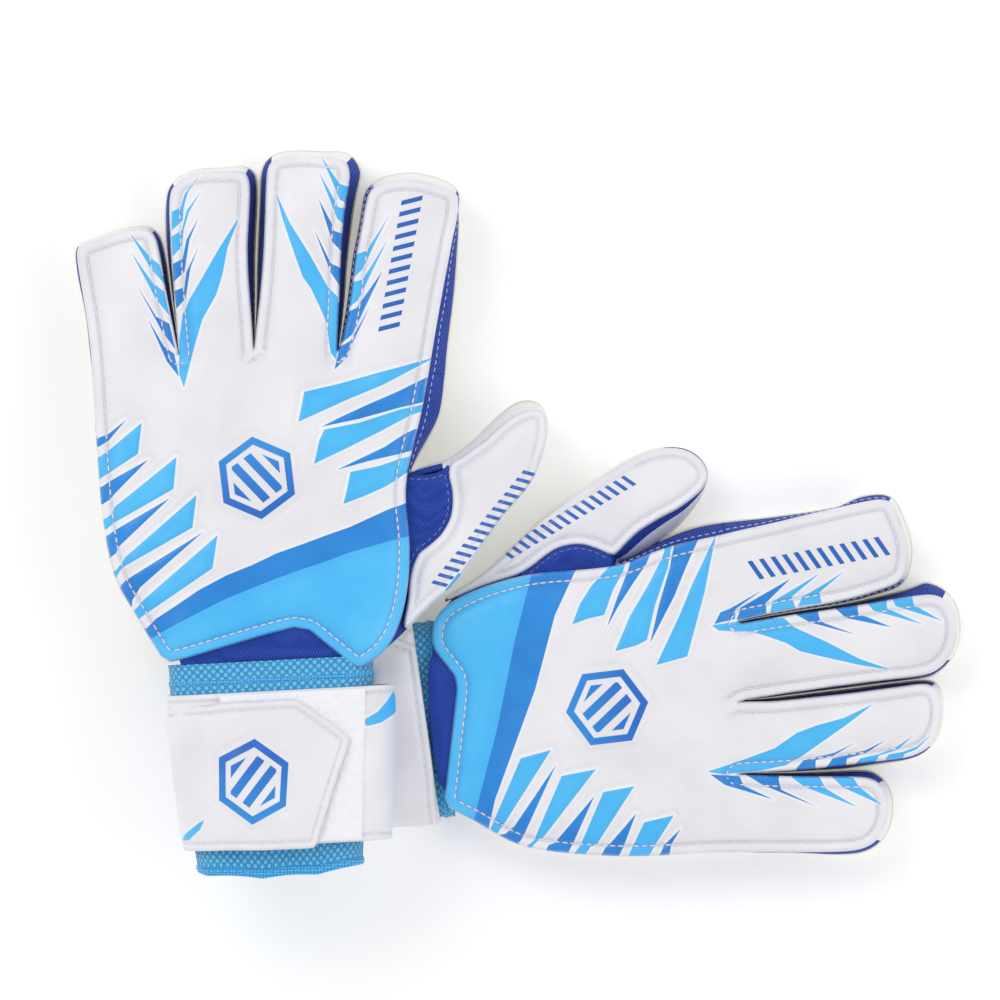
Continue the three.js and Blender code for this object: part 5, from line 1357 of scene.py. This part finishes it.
    # layers on the strap, laid out flat and wrapped on
    a = shw - shh
    def wrap(V):
        return strap_xyz(V[:, 0], V[:, 1], V[:, 2])
    def layer(name, outline, zt, zb, mat, attrs=None, inner=1.1, stitch=None, sheetargs={}):
        sh = Sheet(outline, inner=inner, **sheetargs)
        top = zt(sh)
        at = dict(NOP, thr=0.0); at.update(attrs(sh) if attrs else {}); at["ed"] = sh.d
        at = {k: np.broadcast_to(np.asarray(v, float), (len(sh.P),)).copy() for k, v in at.items()}
        bag = sheet_bags(sh, top, zb(sh.P), 1, at, round_out=.12)[0]
        n0 = len(bag.V)
        if stitch:
            hz = Height(sh.P, top)
            for run in path_on(sh, top, stitch):
                for c, V2, F2, N2 in stitch_line(np.c_[run, hz(run) + .1], np.tile([0, 0, 1.0], (len(run), 1)), 2.9, 1.05, .28):
                    bag.add(V2, F2, N2, **THREAD)
        V, F, N, A = bag.out()
        V = wrap(V)
        key = np.round(V, 4)
        _, first, inv = np.unique(key, axis=0, return_index=True, return_inverse=True)
        inv = inv.reshape(-1)
        F = [[int(inv[i]) for i in f] for f in F]; F = [f for f in F if len(set(f)) == len(f)]
        V = V[first]; A = {k: v[first] for k, v in A.items()}
        F = outward(V, F)
        return make(name, V, F, mat, left, A, fnormals(V, F))
    g = C["pad"]
    o1, o2, o3, o4, o5, o6 = np.cumsum(g)
    def taper(P, lo, hi):
        """the layers lie down against the band towards the wrapped edge"""
        k = smooth01((P[:, 0] + a + shh * .75) / (shh * .75 + 12))
        return lo + (hi - lo) * k
    fe = C["fleece_end"]
    lp_out = [(-22, w0 + .9), (fe, w0 + .9), (fe, w1 - .8), (-22, w1 - .8)]
    fz = lambda sh: o2 + .35 * smooth01(sh.d / 2.5) - .5 * (1 - np.clip(sh.d / .8, 0, 1)) ** 2 + .14 * ripple(sh.P, 31, 5) + .1 * ripple(sh.P, 33, 2.6)
    ob = layer(f"{hand}_loop_pad_fleece", lp_out, fz, lambda P: np.full(len(P), o1 - .4), M_FLEECE, sheetargs=dict(step=.8, rings=(.3, .8, 1.5, 2.2)), inner=.9)
    declare(ob, [f"{hand}_strap_loop_pad"], ride=H, left=left)
    s0, s1 = w0, w1
    hk = [(-a * .5, s0 + 5), (16, s0 + 12), (15.5, s1 - 12), (-a * .5, s1 - 5)]
    ob = layer(f"{hand}_hook_pad", hk, lambda sh: np.full(len(sh.P), o4), lambda P: np.full(len(P), o3), M_HOOK, sheetargs=dict(step=1.2, rings=(.5, 1.2)), inner=1.6)
    e = -(a + shh * 1.9)
    f0 = s0 + C["flap0"]
    q, tu = C["corner"], C["tipu"]
    fl = [(e, f0 + .3), (-a, f0), (-20, f0 - .8), (q - 3, f0 - .8), (q, f0 - .7), (q + 1.4, f0 + .4), (tu - 1, f0 + 12.7), (tu, f0 + 14.0), (tu - .3, f0 + 15.6), (12.2, s1 - .6), (11.2, s1 + .9), (9.6, s1 + 1.2), (-12, s1 + 1.0), (-a, s1 + .4), (e, s1)]
    fl = [fl[0]] + [tuple(p) for p in chaikin(fl, 1)[1:-1]] + [fl[-1]]
    mk = C["mark"]
    mc, ma, mr = mk
    def fattr(sh):
        q = sh.P - np.array(mc)
        ca, sa = math.cos(ma), math.sin(ma)
        m = q @ np.array([[ca, -sa], [sa, ca]]) * (12.5 / mr)
        sp = union_sdf(sh.P, [[(-a - 22, s1 - 3.4), (-a - 13, s1 - 7.4), (-a - 5.5, s1 - 11.2), (-a - 8.5, s1 - 7.2), (-a - 15, s1 - 3.6)]])
        # the stitch-groove mask below sets where the leather gets painted groove shade
        return dict(mx=m[:, 0], my=m[:, 1], lt=np.clip(sp, -9, 9), gr=np.exp(-((sh.d - 2.6) / .55) ** 2))
    def ftop(sh):
        m = fattr(sh)
        hexd = (np.maximum(np.abs(m["mx"]), np.abs(m["mx"]) * .5 + np.abs(m["my"]) * .866) - 12.5) * mr / 12.5
        z = crown(sh.P, sh.d, 0, lip=.9, groove=(2.6, .55), rise=.9, hand=.9, seed=40, far=(5, 16))
        z -= .4 * np.exp(-((hexd - 1.8) / .55) ** 2)
        return taper(sh.P, .5, o6) + z
    ob = layer(f"{hand}_strap_flap_padded", fl, ftop, lambda P: taper(P, .05, o5), M_PLAIN, fattr, inner=.95, stitch=2.6, sheetargs=dict(rings=(.2, .5, .9, 1.5, 2.1, 2.6, 3.1, 3.8, 4.8)))
    hk_ob = bpy.data.objects[f"{hand}_hook_pad"]
    if left:
        z = zc + shh
        s = cuff_xyz(C, np.array(-41.0), np.array(36.0), np.array(z), sc); t = cuff_xyz(C, np.array(-33.0), np.array(36.0), np.array(z), sc)
        declare(ob, [f"{hand}_strap_flap"], blend=("left_hand", "left_strap_flap", s, t), left=True)
        declare(hk_ob, [f"{hand}_strap_hook_pad"], ride="left_strap_flap", left=True)
    else:
        declare(ob, [f"{hand}_strap_flap"], ride=H, left=left)
        declare(hk_ob, [f"{hand}_strap_hook_pad"], ride=H, left=left)


LEFT_CFG = dict(cw=True, seed=1, mark=((-93.6, 12.78), .12, 13.0), row=[(-37.8, 114.66), (-46.44, 66.06)], trow=[(-29.16, -26.46), (4.68, 14.94)],
                tshard=[[(-26.28, -27.54), (-23.76, -27.9), (-18.72, -21.06), (-21.6, -21.42)]],
                margins=dict(pinky=(.4, .7, 1.4), ring=(2.2, 1.6, 5.0), middle=(3.0, 2.2, 6.0), index=(1.2, 3.0, 3.0)))
RIGHT_CFG = dict(cw=False, seed=11, mark=((32.04, -69.66), .12 + math.pi / 2, 13.0), row=[(83.52, -20.7), (133.2, -11.34)], trow=[(-5.4, -15.3), (45.72, 15.3)],
                 tshard=[], margins=dict(pinky=(.3, .5, 2.4), ring=(1.6, 1.2, 6.0), middle=(1.6, 1.8, 7.0), index=(1.2, 2.2, 2.2)))
LEFT_CUFF = dict(c0=(-88.7, -56.9), c1=(-85.0, -127.6), hw0=36.5, hw1=29.5, zc=14, hh=12.5, w0=-4.3, dip=.57, corner=6.1, tipu=25.2, flap0=4.4, strapW=(6.3, 61.8), strapC=3.4, strapHW=41.4, strapHW1=37.4, strapHH=15.3, skew=0.0, fleece_end=30.4,
                 pad=(.3, 1.2, .3, 1.0, .3, 1.8), bow=2.6, mark=((-12.2, 38.3), .12, 13.4),
                 sshard=[[(-55.08, -73.62), (-50.04, -70.74), (-46.44, -66.42), (-44.64, -63.54), (-42.84, -68.22), (-43.92, -71.46), (-48.96, -74.7), (-54.72, -76.14)]])
RIGHT_CUFF = dict(c0=(-29.8, -74.2), c1=(-98.6, -80.5), hw0=35.3, hw1=29.5, zc=9, hh=6.5, w0=-4.0, dip=1.0, corner=26.0, tipu=34.0, flap0=1.0, strapW=(3.2, 56.7), strapC=.5, strapHW=38.2, strapHW1=35.4, strapHH=9, skew=.05, fleece_end=32.0,
                  pad=(.3, .8, .3, .7, .3, 1.2), bow=2.0, mark=((-12.0, 38.0), .12, 13.0), sshard=[])

build_hand("left", LEFT, LEFT_PRINT, LEFT_CFG)
build_cuff("left", LEFT_CUFF)
build_hand("right", RIGHT, RIGHT_PRINT, RIGHT_CFG)
build_cuff("right", RIGHT_CUFF)

# ---------------------------------------------------------------- studio
def mesh_object(name, V, F, mat=None):
    me = bpy.data.meshes.new(name); me.from_pydata(V, [], F); me.update()
    ob = bpy.data.objects.new(name, me); bpy.context.scene.collection.objects.link(ob)
    if mat: me.materials.append(mat)
    return ob

kf = Nodes("studio_floor", .9)
M_FLOOR = kf.done(srgb(252, 252, 252), .9, None, spec=.1)
kf.b.inputs["Emission Color"].default_value = (1, 1, 1, 1)
kf.b.inputs["Emission Strength"].default_value = .16
floor = mesh_object("floor", [(-3, -3, -.0006), (3, -3, -.0006), (3, 3, -.0006), (-3, 3, -.0006)], [[0, 1, 2, 3]], M_FLOOR)
world_ = bpy.data.worlds.new("studio"); bpy.context.scene.world = world_
world_.use_nodes = True
world_.node_tree.nodes["Background"].inputs["Color"].default_value = (1, 1, 1, 1)
world_.node_tree.nodes["Background"].inputs["Strength"].default_value = .74
def area_light(name, loc, target, size, power, color=(1, 1, 1)):
    l = bpy.data.lights.new(name, "AREA"); l.shape = "SQUARE"; l.size = size; l.energy = power; l.color = color
    o = bpy.data.objects.new(name, l); bpy.context.scene.collection.objects.link(o)
    o.location = loc
    o.rotation_mode = "QUATERNION"
    o.rotation_quaternion = (Vector(target) - Vector(loc)).to_track_quat("-Z", "Y")
    return o
area_light("key", (-.9, .9, 1.5), (0, 0, 0), 1.0, 7.5)
area_light("fill", (1.3, -.2, 1.3), (0, 0, 0), 1.2, 4.8)
cam = bpy.data.cameras.new("camera"); cam.lens = 417.8; cam.sensor_width = 36; cam.clip_end = 20
co = bpy.data.objects.new("camera", cam); bpy.context.scene.collection.objects.link(co)
co.location = (-.00618, .00536, 4.2)
bpy.context.scene.camera = co
vs = bpy.context.scene.view_settings
vs.view_transform = "Standard"; vs.look = "None"; vs.exposure = 0; vs.gamma = 1
